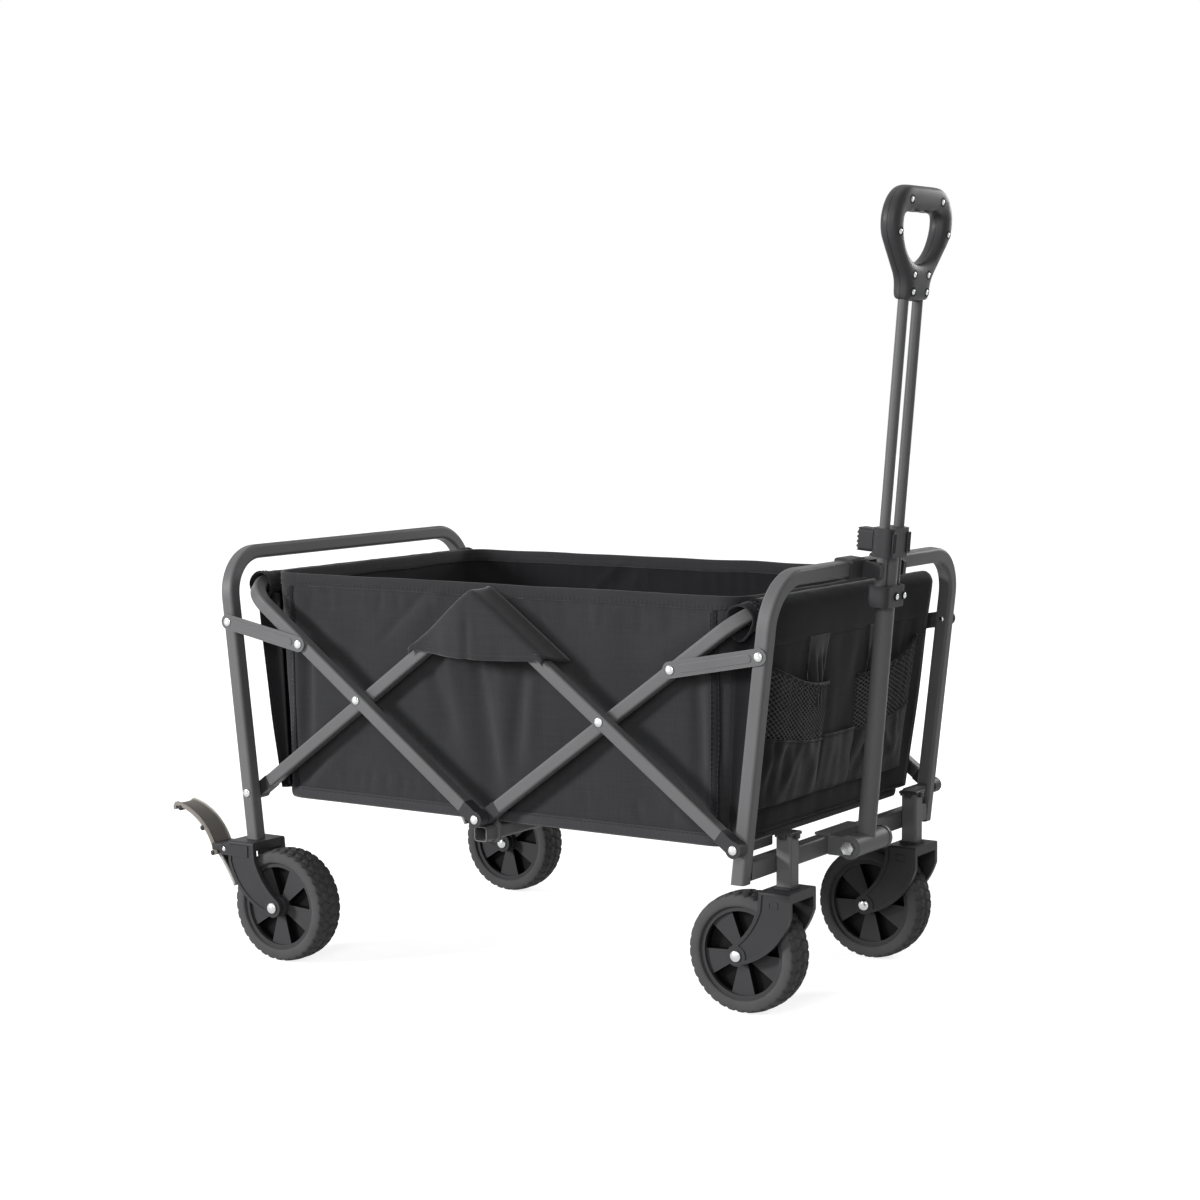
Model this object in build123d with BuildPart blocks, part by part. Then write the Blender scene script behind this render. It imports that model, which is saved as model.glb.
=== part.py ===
from build123d import *
import os
from math import cos, radians, sin, tan

os.makedirs("parts", exist_ok=True)

# A collapsible utility wagon, in millimetres: +X is forward, +Y is left, +Z is up.
# The origin is on the floor, under the middle of the basket.
SIDES = {"right": -1, "left": 1}
ENDS = {"rear": -1, "front": 1}

# Folding side linkage: two crossings on each side, drawn open
LEG_GAP = 25.5  # leg pivots beyond the edge of the basket's floor
PIVOT_Z = 205.7  # leg pivots and the middle pivot, above the floor
ARM_ANGLE = 36.3  # arms above level
LEAN = 6.46  # end frames lean outward at the top
BAR_REACH = 222.0  # crossing to the bar that carries the basket
LINK_REACH = 107.3  # crossing to the link pin on the upper arm
LEG_PIN = 215.6  # leg pivot to the link pin on the leg
OUTER_Y = 244.0  # outer plane of arms and legs
PLAY = 0.5  # between parts that turn side by side

# Tube stock
FRAME_TUBE = 18.0
FRAME_CORNER = 4.0
FRAME_BEND = 55.0
ARM_TUBE = 16.0
ARM_CORNER = 3.0
ARM_BEND = 42.0
TUBE_WALL = 1.2
TOP_BAR_Z = 503.5  # middle of the end frames' top bars

# Rivets and their fits
RIVET_D = 6.0
RIVET_HEAD_D = 11.0
RIVET_HEAD = 2.4
HEAD_TAPER = 0.5  # flat top of a head, as a share of its width
RUNNING_FIT = 0.06  # on the radius of a turning pin
OPEN_FIT = 0.3  # on the radius where the linkage is left open

# Plastic arm ends and stamped links
FITTING_R = 9.5
FITTING_LENGTH = 24.0
PLUG_LENGTH = 18.0
PLUG_PLAY = 0.1
LINK_WIDTH = 19.0
LINK_SHEET = 2.0
LINK_RIB_WIDTH = 9.0
LINK_RIB = 1.0

# Wheels, axles and forks
WHEEL_R = 70.0
TYRE_W = 42.0
TREAD_DEPTH = 3.5
TREAD_LUGS = 18
LUG_SHARE = 0.6  # lug length, as a share of the pitch
LUG_TAPER = 0.7
SHOULDER = 6.0  # crown of the tread above its shoulders
SIDEWALL_TUCK = 2.0
SINK = 1.0  # pieces of one moulding run into each other this far
RIM_R = 54.0
RIM_RING = 5.0
RIM_W = 34.0
RIM_WEB = 5.0
SPOKES = 5
SPOKE_W = 26.0
SPOKE_ROOT = 5.8  # half width of a spoke at the hub
SPOKE_END = 16.2  # half width of a spoke at the rim
HUB_R = 13.0
AXLE_D = 8.0
AXLE_HEAD_D = 14.0
AXLE_HEAD = 4.0
FORK_GAP = 3.5  # tyre to cheek
CHEEK = 6.0
CHEEK_BORDER = 4.0
CHEEK_RECESS = 1.5
FORK_EYE_R = 12.0
FORK_EYE_TURN = 50.0  # where the cheek's edges run into the round eye
CHEEK_BACK = (28.0, 56.0)  # back edge under the crown, from the axle
CHEEK_HOLLOW = (12.5, 28.0)
CHEEK_FRONT_Z = 51.5
CHEEK_BELLY = (52.0, 18.7)
FORK_TOP = 78.0  # crown above the axle
CROWN = 11.0
CROWN_LENGTH = 40.0
CROWN_EDGE = 3.0
TRAIL = 50.0  # stem ahead of the axle

# Front crossbar and caster posts
FRONT_LEG_BOTTOM = 163.0
CROSSBAR_H = 22.0
CROSSBAR_Z = 177.0
POST = 20.0
POST_TOP = 210.0
POST_Y = 156.6
POST_CAP = 24.0
CAP_RIM = 4.0
CAP_SKIRT = 8.0
BUSHING_FLANGE = 3.0
BUSHING_DEPTH = 24.0
KINGPIN_D = 12.0
KINGPIN_TOP = 196.0
SWIVEL_GAP = 0.4
PEG = 12.0
PEG_LENGTH = 44.0

# Middle cross tube under the basket
BASE_HALF = 240.0
BASE_PLATE = 3.5
BASE_DROP = 19.0  # tube below the middle pivot

# Basket
TUB_TOP_Z = 480.0
TUB_BOTTOM_Z = 203.0
TUB_BOTTOM_HALF = 326.0
TUB_TUCK_IN = 4.7  # basket's top edge inside the sleeves on the cross bars
TUB_SIDE = 213.5
TUB_TUCK = 2.5  # sides draw in towards the floor
TUB_CORNER = 30.0
CLOTH = 3.0
FLOOR_MAT = 6.0
MAT_PLAY = 2.0
SLEEVE_R = 12.0
SLEEVE_BORE = 10.4
PANEL_HALF = 204.0
SOFT_PLAY = 0.4
POCKET_W = 150.0
POCKET_H = 158.0
POCKET_DEPTH = 12.0
POCKET_Z = 238.0
POCKET_Y = 109.0
POCKET_CLOTH = 2.0
POCKET_FRONT = 68.0  # cloth part of a pocket's front, below its net
NET_PITCH = 14.5
NET_STRAND = 2.2
NET_COLUMNS = 10
NET_ROWS = 6
FLAP_CLOTH = 2.5
FLAP_LOW = 395.0  # lower edge of the flaps over the top middle pivots
FLAP_SAG = 7.0

# Pull handle
HANDLE_AHEAD = 33.5  # handle pivot ahead of the leg pivots
HANDLE_LEAN = 4.9
STEM_D = 22.0
STEM_WALL = 1.5
SLEEVE_D = 26.0
SLEEVE_HALF = 37.0
HANDLE_BOLT_D = 10.0
BOLT_HEAD_D = 17.0
BOLT_HEAD = 6.5
EAR = 4.0
EAR_R = 14.0
BRACKET_SHEET = 3.0
LOCK_BOTTOM = 339.0  # along the handle from its pivot
LOCK_HEIGHT = 34.0
LOCK_WIDTH = 50.0
LOCK_DEPTH = 26.0
LOCK_CORNER = 7.8
COLLAR_BOTTOM = 281.0
COLLAR_HEIGHT = 25.0
ROD_D = 12.5
ROD_SPACING = 36.0
GRIP_BOTTOM = 634.0
GRIP_HEIGHT = 127.0
GRIP_HALF = 73.0
GRIP_THICK = 27.0
GRIP_EDGE = 7.0
GRIP_CORNER = 39.0
GRIP_SHOULDER = 74.0  # where the sides start to draw in towards the neck
SHOULDER_R = 34.0
NECK_HALF = 27.0
NECK_HEIGHT = 21.0
HAND_TOP = 98.0
HAND_SIDE = 86.0  # where the hand hole's sides run into its round bottom
HAND_BOTTOM = 40.0
HAND_HALF = 51.0
HAND_CORNER = 8.0
FINGERS = 4
FINGER_PITCH = 21.7
FINGER_R = 11.0
FINGER_DEPTH = 3.0
ROD_SOCKET = 26.0
BUTTON_W = 24.0
BUTTON_H = 27.0
BUTTON_DEPTH = 20.0
BUTTON_TRAVEL = 4.0
BUTTON_STEM_D = 8.0
BUTTON_RIBS = 5
CLIP_GAP = 26.5  # half the width of the cradle that holds the handle
CLIP_PRONG = 7.0
CLIP_WRAP = 34.0
CLIP_SHEET = 3.0

# Brake pedals
PEDAL_W = 44.0
PEDAL_SHEET = 4.0
PEDAL_PIVOT = (78.0, 66.0)  # behind and above the axle
PEDAL_BARREL_R = 7.0
PEDAL_PIN_D = 6.0
PEDAL_FOOT = (1.0, -50.0)  # end that meets the tyre, behind and above the pivot
PEDAL_SHANK = (14.0, -28.5)
PEDAL_BEND = (26.0, -12.0)
PEDAL_CREST = (50.0, 28.0)
PEDAL_TIP = (89.0, 47.0)
PEDAL_ARM = 31.0  # from the pivot to the foot plate
PLATE_W = 34.0

# Places that follow from the sizes above
INNER_Y = OUTER_Y - (FRAME_TUBE + ARM_TUBE) / 2 - PLAY
ARM_COS = cos(radians(ARM_ANGLE))
ARM_SIN = sin(radians(ARM_ANGLE))
PIVOT_X = TUB_BOTTOM_HALF + LEG_GAP
HANDLE_X = PIVOT_X + HANDLE_AHEAD
CROSS_X = PIVOT_X / 2
ARM_HALF = CROSS_X / ARM_COS
CROSS_Z = PIVOT_Z + ARM_HALF * ARM_SIN
TOP_Z = PIVOT_Z + 2 * ARM_HALF * ARM_SIN
BAR_X = CROSS_X + BAR_REACH * ARM_COS
BAR_Z = CROSS_Z + BAR_REACH * ARM_SIN
TUB_TOP_HALF = BAR_X - SLEEVE_R - TUB_TUCK_IN
LEAN_SIN = sin(radians(LEAN))
LEAN_COS = cos(radians(LEAN))
LEAN_TAN = tan(radians(LEAN))
CROWN_TOP_Z = WHEEL_R + FORK_TOP
REAR_AXLE_X = PIVOT_X - (PIVOT_Z - CROWN_TOP_Z) * LEAN_TAN - TRAIL
CROSSBAR_X = PIVOT_X - (PIVOT_Z - CROSSBAR_Z) * LEAN_TAN
CROSSBAR_FACE = CROSSBAR_X + FRAME_TUBE / 2
POST_X = CROSSBAR_FACE + POST / 2
FRONT_AXLE_X = POST_X - TRAIL
POST_BOTTOM = CROWN_TOP_Z + SWIVEL_GAP + BUSHING_FLANGE
BASE_Z = PIVOT_Z - BASE_DROP
ARM_INSIDE = INNER_Y - ARM_TUBE / 2
LEG_Y = {"rear": OUTER_Y, "front": INNER_Y}
BAR_Y = {"rear": OUTER_Y, "front": INNER_Y}
ARM_Y = {"rear": INNER_Y, "front": OUTER_Y}
LEG_BOTTOM = {"rear": CROWN_TOP_Z, "front": FRONT_LEG_BOTTOM}
AXLE_X = {"rear": -REAR_AXLE_X, "front": FRONT_AXLE_X}
WHEEL_Y = {"rear": OUTER_Y, "front": POST_Y}
ALL_THROUGH = 4 * OUTER_Y


def save(piece, name):
    """Label a finished piece and write it to its own file."""
    piece.part.label = name
    export_step(piece.part, f"parts/{name}.step")


def tube_section(side, corner):
    """Hollow square tube section, for the sketch in hand."""
    RectangleRounded(side, side, corner)
    bore = side - 2 * TUBE_WALL
    RectangleRounded(bore, bore, corner - TUBE_WALL, mode=Mode.SUBTRACT)


def straight_tube(start, stop, side, corner):
    """Square tube from one point to another, with flats facing sideways."""
    run = Vector(*stop) - Vector(*start)
    across = (1, 0, 0) if abs(run.Y) > abs(run.X) else (0, 1, 0)
    with BuildSketch(Plane(origin=start, x_dir=across, z_dir=run)) as section:
        tube_section(side, corner)
    extrude(section.sketch, amount=run.length)


def bent_tube(plane, half_width, low, high, bend, side, corner):
    """Square tube bent to a U that opens downward in the given plane."""
    with BuildLine(plane) as route:
        FilletPolyline(
            (-half_width, low),
            (-half_width, high),
            (half_width, high),
            (half_width, low),
            radius=bend,
        )
    with BuildSketch(Plane(origin=route.line @ 0, x_dir=(0, 1, 0), z_dir=route.line % 0)) as section:
        tube_section(side, corner)
    sweep(section.sketch, path=route.line)


def sideways_hole(x, z, radius):
    """Hole along Y, right through the piece in hand."""
    with Locations(Location((x, 0, z), (90, 0, 0))):
        Cylinder(radius, ALL_THROUGH, mode=Mode.SUBTRACT)


def sideways_bar(x, z, radius, start, stop):
    """Round bar along Y, from one Y to another."""
    with Locations(Location((x, (start + stop) / 2, z), (90, 0, 0))):
        Cylinder(radius, abs(stop - start))


def tapered_head(x, y, z, side, diameter, height):
    """Rivet or bolt head that stands out sideways from y."""
    with Locations(Location((x, y, z), (-90 * side, 0, 0))):
        Cone(
            diameter / 2,
            diameter / 2 * HEAD_TAPER,
            height,
            align=(Align.CENTER, Align.CENTER, Align.MIN),
        )


def rivet(x, z, side, inside, outside):
    """Rivet across a pivot, with its head outside."""
    sideways_bar(x, z, RIVET_D / 2, side * inside, side * outside)
    tapered_head(x, side * outside, z, side, RIVET_HEAD_D, RIVET_HEAD)


def arm_fitting(x, y, z, along):
    """Rounded plastic arm end round a pivot, with the plug that fills the tube."""
    plane = Plane(origin=(x, y, z), x_dir=along, z_dir=(0, 1, 0))
    bore = ARM_TUBE - 2 * TUBE_WALL - 2 * PLUG_PLAY
    with BuildSketch(plane) as knuckle:
        Circle(FITTING_R)
        with Locations((FITTING_LENGTH / 2, 0)):
            Rectangle(FITTING_LENGTH, ARM_TUBE)
    extrude(knuckle.sketch, amount=ARM_TUBE / 2, both=True)
    tube_mouth = Vector(x, y, z) + Vector(*along) * FITTING_LENGTH
    with BuildSketch(Plane(origin=tube_mouth, x_dir=(0, 1, 0), z_dir=along)) as plug:
        RectangleRounded(bore, bore, ARM_CORNER - TUBE_WALL)
    extrude(plug.sketch, amount=PLUG_LENGTH)


def low_arm_points(way):
    """Pivot points of a lower arm, from its leg to the top middle, in X and Z."""
    return (way * PIVOT_X, PIVOT_Z), (0.0, TOP_Z)


# End frames: inverted U tubes that lean outward
for end, way in ENDS.items():
    upright = Plane(
        origin=(way * PIVOT_X, 0, PIVOT_Z),
        x_dir=(0, 1, 0),
        z_dir=(LEAN_COS, 0, -way * LEAN_SIN),
    )
    foot = (PIVOT_Z - LEG_BOTTOM[end]) / LEAN_COS + FRAME_TUBE
    crest = (TOP_BAR_Z - PIVOT_Z) / LEAN_COS
    with BuildPart() as end_frame:
        bent_tube(upright, LEG_Y[end], -foot, crest, FRAME_BEND, FRAME_TUBE, FRAME_CORNER)
        split(bisect_by=Plane.XY.offset(LEG_BOTTOM[end]), keep=Keep.TOP)
        sideways_hole(way * PIVOT_X, PIVOT_Z, RIVET_D / 2)
        link_x = way * (PIVOT_X + LEG_PIN * LEAN_SIN)
        sideways_hole(link_x, PIVOT_Z + LEG_PIN * LEAN_COS, RIVET_D / 2 + RUNNING_FIT)
    save(end_frame, f"{end}_end_frame")

# Basket frames: U tubes whose cross bars carry the basket's ends
for end, way in ENDS.items():
    slope = Plane(
        origin=(0, 0, PIVOT_Z), x_dir=(0, 1, 0), z_dir=(ARM_SIN, 0, -way * ARM_COS)
    )
    with BuildPart() as u_frame:
        bent_tube(
            slope, BAR_Y[end], FITTING_LENGTH, ARM_HALF + BAR_REACH, ARM_BEND, ARM_TUBE, ARM_CORNER
        )
        sideways_hole(way * CROSS_X, CROSS_Z, RIVET_D / 2 + RUNNING_FIT)
    save(u_frame, f"{end}_u_frame")

    with BuildPart() as u_fittings:
        for side in SIDES.values():
            arm_fitting(0, side * BAR_Y[end], PIVOT_Z, (way * ARM_COS, 0, ARM_SIN))
        sideways_hole(0, PIVOT_Z, RIVET_D / 2 + RUNNING_FIT)
    save(u_fittings, f"{end}_u_fittings")

# Lower arms, from each leg pivot up to the top middle
for end, way in ENDS.items():
    (foot_x, foot_z), (head_x, head_z) = low_arm_points(way)
    rise = (-way * ARM_COS, 0, ARM_SIN)
    with BuildPart() as low_arms:
        for side in SIDES.values():
            y = side * ARM_Y[end]
            straight_tube(
                (foot_x + rise[0] * FITTING_LENGTH, y, foot_z + rise[2] * FITTING_LENGTH),
                (head_x - rise[0] * FITTING_LENGTH, y, head_z - rise[2] * FITTING_LENGTH),
                ARM_TUBE,
                ARM_CORNER,
            )
        sideways_hole(way * CROSS_X, CROSS_Z, RIVET_D / 2)
    save(low_arms, f"{end}_low_arms")

    head_fit = OPEN_FIT if end == "rear" else 0.0
    with BuildPart() as low_fittings:
        for side in SIDES.values():
            arm_fitting(foot_x, side * ARM_Y[end], foot_z, rise)
            arm_fitting(head_x, side * ARM_Y[end], head_z, (-rise[0], 0, -rise[2]))
        sideways_hole(foot_x, foot_z, RIVET_D / 2 + RUNNING_FIT)
        sideways_hole(head_x, head_z, RIVET_D / 2 + head_fit)
    save(low_fittings, f"{end}_low_fittings")

# Rivets at the crossings and at the top middle, carried by the lower arms
ARM_OUTSIDE = OUTER_Y + ARM_TUBE / 2
with BuildPart() as rear_arm_rivets:
    for side in SIDES.values():
        rivet(-CROSS_X, CROSS_Z, side, ARM_INSIDE, ARM_OUTSIDE)
save(rear_arm_rivets, "rear_arm_rivets")

with BuildPart() as front_arm_rivets:
    for side in SIDES.values():
        rivet(CROSS_X, CROSS_Z, side, ARM_INSIDE, ARM_OUTSIDE)
        rivet(0, TOP_Z, side, ARM_INSIDE, ARM_OUTSIDE)
save(front_arm_rivets, "front_arm_rivets")

# Rivets that hold the lower arms to the legs
with BuildPart() as rear_leg_rivets:
    for side in SIDES.values():
        rivet(-PIVOT_X, PIVOT_Z, side, ARM_INSIDE, OUTER_Y + FRAME_TUBE / 2)
save(rear_leg_rivets, "rear_leg_rivets")

with BuildPart() as front_leg_rivets:
    for side in SIDES.values():
        rivet(PIVOT_X, PIVOT_Z, side, INNER_Y - FRAME_TUBE / 2, ARM_OUTSIDE)
save(front_leg_rivets, "front_leg_rivets")

# Stamped links that keep the legs upright, riding outside leg and arm
for end, way in ENDS.items():
    leg_x = way * (PIVOT_X + LEG_PIN * LEAN_SIN)
    leg_z = PIVOT_Z + LEG_PIN * LEAN_COS
    arm_x = way * (CROSS_X + LINK_REACH * ARM_COS)
    arm_z = CROSS_Z + LINK_REACH * ARM_SIN
    span = Vector(leg_x - arm_x, 0, leg_z - arm_z)
    inner_face = LEG_Y[end] + FRAME_TUBE / 2 + PLAY
    outer_face = inner_face + LINK_SHEET
    with BuildPart() as links:
        for side in SIDES.values():
            middle = ((leg_x + arm_x) / 2, side * inner_face, (leg_z + arm_z) / 2)
            plane = Plane(origin=middle, x_dir=span, z_dir=(0, side, 0))
            with BuildSketch(plane):
                SlotCenterToCenter(span.length, LINK_WIDTH)
            extrude(amount=LINK_SHEET)
            with BuildSketch(plane.offset(LINK_SHEET)):
                SlotOverall(span.length - LINK_WIDTH, LINK_RIB_WIDTH)
            extrude(amount=LINK_RIB)
        sideways_hole(leg_x, leg_z, RIVET_D / 2)
        sideways_hole(arm_x, arm_z, RIVET_D / 2)
    save(links, f"{end}_links")

    with BuildPart() as link_rivets:
        for side in SIDES.values():
            rivet(leg_x, leg_z, side, LEG_Y[end] - FRAME_TUBE / 2, outer_face)
            rivet(arm_x, arm_z, side, inner_face - PLAY / 2, outer_face)
    save(link_rivets, f"{end}_link_rivets")

# Middle cross tube, its plates and the pins that the basket frames turn on
with BuildPart() as base_tube:
    straight_tube((0, -BASE_HALF, BASE_Z), (0, BASE_HALF, BASE_Z), FRAME_TUBE, FRAME_CORNER)
save(base_tube, "base_tube")

with BuildPart() as base_plates:
    for side in SIDES.values():
        plate_y = side * (ARM_INSIDE - PLAY)
        with BuildSketch(Plane(origin=(0, plate_y, PIVOT_Z), x_dir=(1, 0, 0), z_dir=(0, -1, 0))):
            Circle(FITTING_R)
            with Locations((0, -BASE_DROP / 2)):
                Rectangle(2 * FITTING_R, BASE_DROP)
            with Locations((0, -BASE_DROP)):
                RectangleRounded(FRAME_TUBE + 2 * BASE_PLATE, FRAME_TUBE + 2 * BASE_PLATE, FRAME_CORNER)
                RectangleRounded(FRAME_TUBE, FRAME_TUBE, FRAME_CORNER, mode=Mode.SUBTRACT)
        extrude(amount=side * BASE_PLATE)
    sideways_hole(0, PIVOT_Z, RIVET_D / 2)
save(base_plates, "base_plates")

with BuildPart() as base_pins:
    for side in SIDES.values():
        rivet(0, PIVOT_Z, side, ARM_INSIDE - PLAY - BASE_PLATE, ARM_OUTSIDE)
save(base_pins, "base_pins")

# Fabric basket: open at the top, drawn in a little towards its floor
with BuildPart() as fabric_tub:
    with BuildSketch(Plane.XY.offset(TUB_BOTTOM_Z)):
        RectangleRounded(2 * TUB_BOTTOM_HALF, 2 * (TUB_SIDE - TUB_TUCK), TUB_CORNER)
    with BuildSketch(Plane.XY.offset(TUB_TOP_Z)):
        RectangleRounded(2 * TUB_TOP_HALF, 2 * TUB_SIDE, TUB_CORNER)
    loft()
    rim = fabric_tub.faces().sort_by(Axis.Z)[-1]
    offset(amount=-CLOTH, openings=rim)
save(fabric_tub, "fabric_tub")

with BuildPart() as floor_mat:
    with BuildSketch(Plane.XY.offset(TUB_BOTTOM_Z + CLOTH)):
        RectangleRounded(
            2 * (TUB_BOTTOM_HALF - CLOTH - MAT_PLAY),
            2 * (TUB_SIDE - TUB_TUCK - CLOTH - MAT_PLAY),
            TUB_CORNER - CLOTH - MAT_PLAY,
        )
    extrude(amount=FLOOR_MAT)
save(floor_mat, "floor_mat")

# End panels: a sleeve round each cross bar and the cloth that hangs from it
for end, way in ENDS.items():
    with BuildPart() as end_panel:
        with BuildSketch(Plane(origin=(0, -PANEL_HALF, 0), x_dir=(1, 0, 0), z_dir=(0, -1, 0))):
            with Locations((way * BAR_X, BAR_Z)):
                Circle(SLEEVE_R)
            with BuildLine():
                Polyline(
                    (way * (BAR_X + SLEEVE_R), BAR_Z),
                    (way * (BAR_X + SLEEVE_R - CLOTH), BAR_Z),
                    (way * (TUB_BOTTOM_HALF + SOFT_PLAY), TUB_BOTTOM_Z),
                    (way * (TUB_BOTTOM_HALF + SOFT_PLAY + CLOTH), TUB_BOTTOM_Z),
                    close=True,
                )
            make_face()
            with Locations((way * BAR_X, BAR_Z)):
                Circle(SLEEVE_BORE, mode=Mode.SUBTRACT)
        extrude(amount=-2 * PANEL_HALF)
        corner_cut = BAR_Y[end] - ARM_BEND - SOFT_PLAY
        for side in SIDES.values():
            with Locations((way * BAR_X, side * (corner_cut + ARM_BEND / 2), BAR_Z)):
                Box(2 * SLEEVE_R + SINK, ARM_BEND, 2 * SLEEVE_R + SINK, mode=Mode.SUBTRACT)
    save(end_panel, f"{end}_panel")

# Flaps that hang over the top middle pivots, open below and towards the basket
FLAP_OUTSIDE = OUTER_Y + ARM_TUBE / 2 + RIVET_HEAD + PLAY
FLAP_ROOF = TOP_Z + (FITTING_R + PLAY) / ARM_COS
FLAP_PEAK = FLAP_ROOF + FLAP_CLOTH / ARM_COS
FLAP_HALF = (FLAP_PEAK - FLAP_LOW) * ARM_COS / ARM_SIN
hollow_low = FLAP_LOW - 2 * FLAP_SAG
hollow_half = (FLAP_ROOF - hollow_low) * ARM_COS / ARM_SIN
flap_depth = FLAP_OUTSIDE - TUB_SIDE - SOFT_PLAY
with BuildPart() as side_flaps:
    for side in SIDES.values():
        wall = Plane(origin=(0, side * (TUB_SIDE + SOFT_PLAY), 0), x_dir=(1, 0, 0), z_dir=(0, -1, 0))
        with BuildSketch(wall):
            with BuildLine():
                Polyline((-FLAP_HALF, FLAP_LOW), (0, FLAP_PEAK), (FLAP_HALF, FLAP_LOW))
                ThreePointArc((-FLAP_HALF, FLAP_LOW), (0, FLAP_LOW - FLAP_SAG), (FLAP_HALF, FLAP_LOW))
            make_face()
        extrude(amount=-side * (flap_depth + FLAP_CLOTH))
        with BuildSketch(wall):
            with BuildLine():
                Polyline((-hollow_half, hollow_low), (0, FLAP_ROOF), (hollow_half, hollow_low), close=True)
            make_face()
        extrude(amount=-side * flap_depth, mode=Mode.SUBTRACT)
save(side_flaps, "side_flaps")

# Open-topped pockets sewn to the front panel: cloth below and at the sides, with a net above
panel_foot = TUB_BOTTOM_HALF + SOFT_PLAY + CLOTH
panel_slope = (BAR_X + SLEEVE_R - panel_foot) / (BAR_Z - TUB_BOTTOM_Z)
pocket_top = POCKET_Z + POCKET_H
net_bottom = POCKET_Z + POCKET_FRONT
back_low = panel_foot + panel_slope * (POCKET_Z - TUB_BOTTOM_Z)
back_net = panel_foot + panel_slope * (net_bottom - TUB_BOTTOM_Z)
back_high = panel_foot + panel_slope * (pocket_top - TUB_BOTTOM_Z)
with BuildPart() as front_pockets:
    for side in SIDES.values():
        start_y = side * POCKET_Y - POCKET_W / 2
        with BuildSketch(Plane(origin=(0, start_y, 0), x_dir=(1, 0, 0), z_dir=(0, -1, 0))):
            with BuildLine():
                Polyline(
                    (back_low, POCKET_Z),
                    (back_high, pocket_top),
                    (back_high + POCKET_DEPTH, pocket_top),
                    (back_low + POCKET_DEPTH, POCKET_Z),
                    close=True,
                )
            make_face()
        extrude(amount=-POCKET_W)
        inner_y = start_y + POCKET_CLOTH
        with BuildSketch(Plane(origin=(0, inner_y, 0), x_dir=(1, 0, 0), z_dir=(0, -1, 0))):
            with BuildLine():
                Polyline(
                    (back_low - POCKET_DEPTH, POCKET_Z + POCKET_CLOTH),
                    (back_low + POCKET_DEPTH - POCKET_CLOTH, POCKET_Z + POCKET_CLOTH),
                    (back_net + POCKET_DEPTH - POCKET_CLOTH, net_bottom),
                    (back_net + 2 * POCKET_DEPTH, net_bottom),
                    (back_high + 2 * POCKET_DEPTH, pocket_top + POCKET_CLOTH),
                    (back_high - POCKET_DEPTH, pocket_top + POCKET_CLOTH),
                    close=True,
                )
            make_face()
        extrude(amount=2 * POCKET_CLOTH - POCKET_W, mode=Mode.SUBTRACT)
save(front_pockets, "front_pockets")

net_rise = Vector(back_high - back_net, 0, pocket_top - net_bottom)
net_hole = (NET_PITCH - NET_STRAND) / 2
with BuildPart() as pocket_nets:
    for side in SIDES.values():
        foot = (back_net + POCKET_DEPTH, side * POCKET_Y, net_bottom)
        net_plane = Plane(origin=foot, x_dir=(0, 1, 0), z_dir=(net_rise.Z, 0, -net_rise.X))
        with BuildSketch(net_plane):
            with Locations((0, net_rise.length / 2)):
                Rectangle(POCKET_W, net_rise.length)
                with GridLocations(NET_PITCH, NET_PITCH, NET_COLUMNS, NET_ROWS):
                    RegularPolygon(net_hole, 4, mode=Mode.SUBTRACT)
                with GridLocations(NET_PITCH, NET_PITCH, NET_COLUMNS - 1, NET_ROWS - 1):
                    RegularPolygon(net_hole, 4, mode=Mode.SUBTRACT)
        extrude(amount=POCKET_CLOTH)
save(pocket_nets, "pocket_nets")

# Front crossbar, caster posts, their caps and bushings
with BuildPart() as front_crossbar:
    bar_half = INNER_Y - FRAME_TUBE / 2
    with BuildSketch(Plane(origin=(CROSSBAR_X, -bar_half, CROSSBAR_Z), x_dir=(1, 0, 0), z_dir=(0, 1, 0))):
        RectangleRounded(FRAME_TUBE, CROSSBAR_H, ARM_CORNER)
        RectangleRounded(
            FRAME_TUBE - 2 * TUBE_WALL,
            CROSSBAR_H - 2 * TUBE_WALL,
            ARM_CORNER - TUBE_WALL,
            mode=Mode.SUBTRACT,
        )
    extrude(amount=2 * bar_half)
save(front_crossbar, "front_crossbar")

POST_BORE = POST - 2 * TUBE_WALL
with BuildPart() as caster_posts:
    for side in SIDES.values():
        y = side * POST_Y
        straight_tube((POST_X, y, POST_BOTTOM), (POST_X, y, POST_TOP), POST, ARM_CORNER)
save(caster_posts, "caster_posts")

with BuildPart() as post_caps:
    for side in SIDES.values():
        with Locations((POST_X, side * POST_Y, POST_TOP)):
            Box(POST_CAP, POST_CAP, CAP_RIM, align=(Align.CENTER, Align.CENTER, Align.MIN))
            Box(
                POST_BORE - 2 * PLUG_PLAY - 2 * ARM_CORNER,
                POST_BORE - 2 * PLUG_PLAY,
                CAP_SKIRT,
                align=(Align.CENTER, Align.CENTER, Align.MAX),
            )
    fillet(post_caps.edges().group_by(Axis.Z)[-1], radius=CAP_RIM / 2)
save(post_caps, "post_caps")

with BuildPart() as caster_bushings:
    for side in SIDES.values():
        with BuildSketch(Plane(origin=(POST_X, side * POST_Y, POST_BOTTOM - BUSHING_FLANGE))):
            RectangleRounded(POST_CAP, POST_CAP, ARM_CORNER)
            Circle(KINGPIN_D / 2 + RUNNING_FIT, mode=Mode.SUBTRACT)
        extrude(amount=BUSHING_FLANGE)
        with BuildSketch(Plane(origin=(POST_X, side * POST_Y, POST_BOTTOM))):
            RectangleRounded(POST_BORE, POST_BORE, ARM_CORNER - TUBE_WALL)
            Circle(KINGPIN_D / 2 + RUNNING_FIT, mode=Mode.SUBTRACT)
        extrude(amount=BUSHING_DEPTH)
save(caster_bushings, "caster_bushings")

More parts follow.
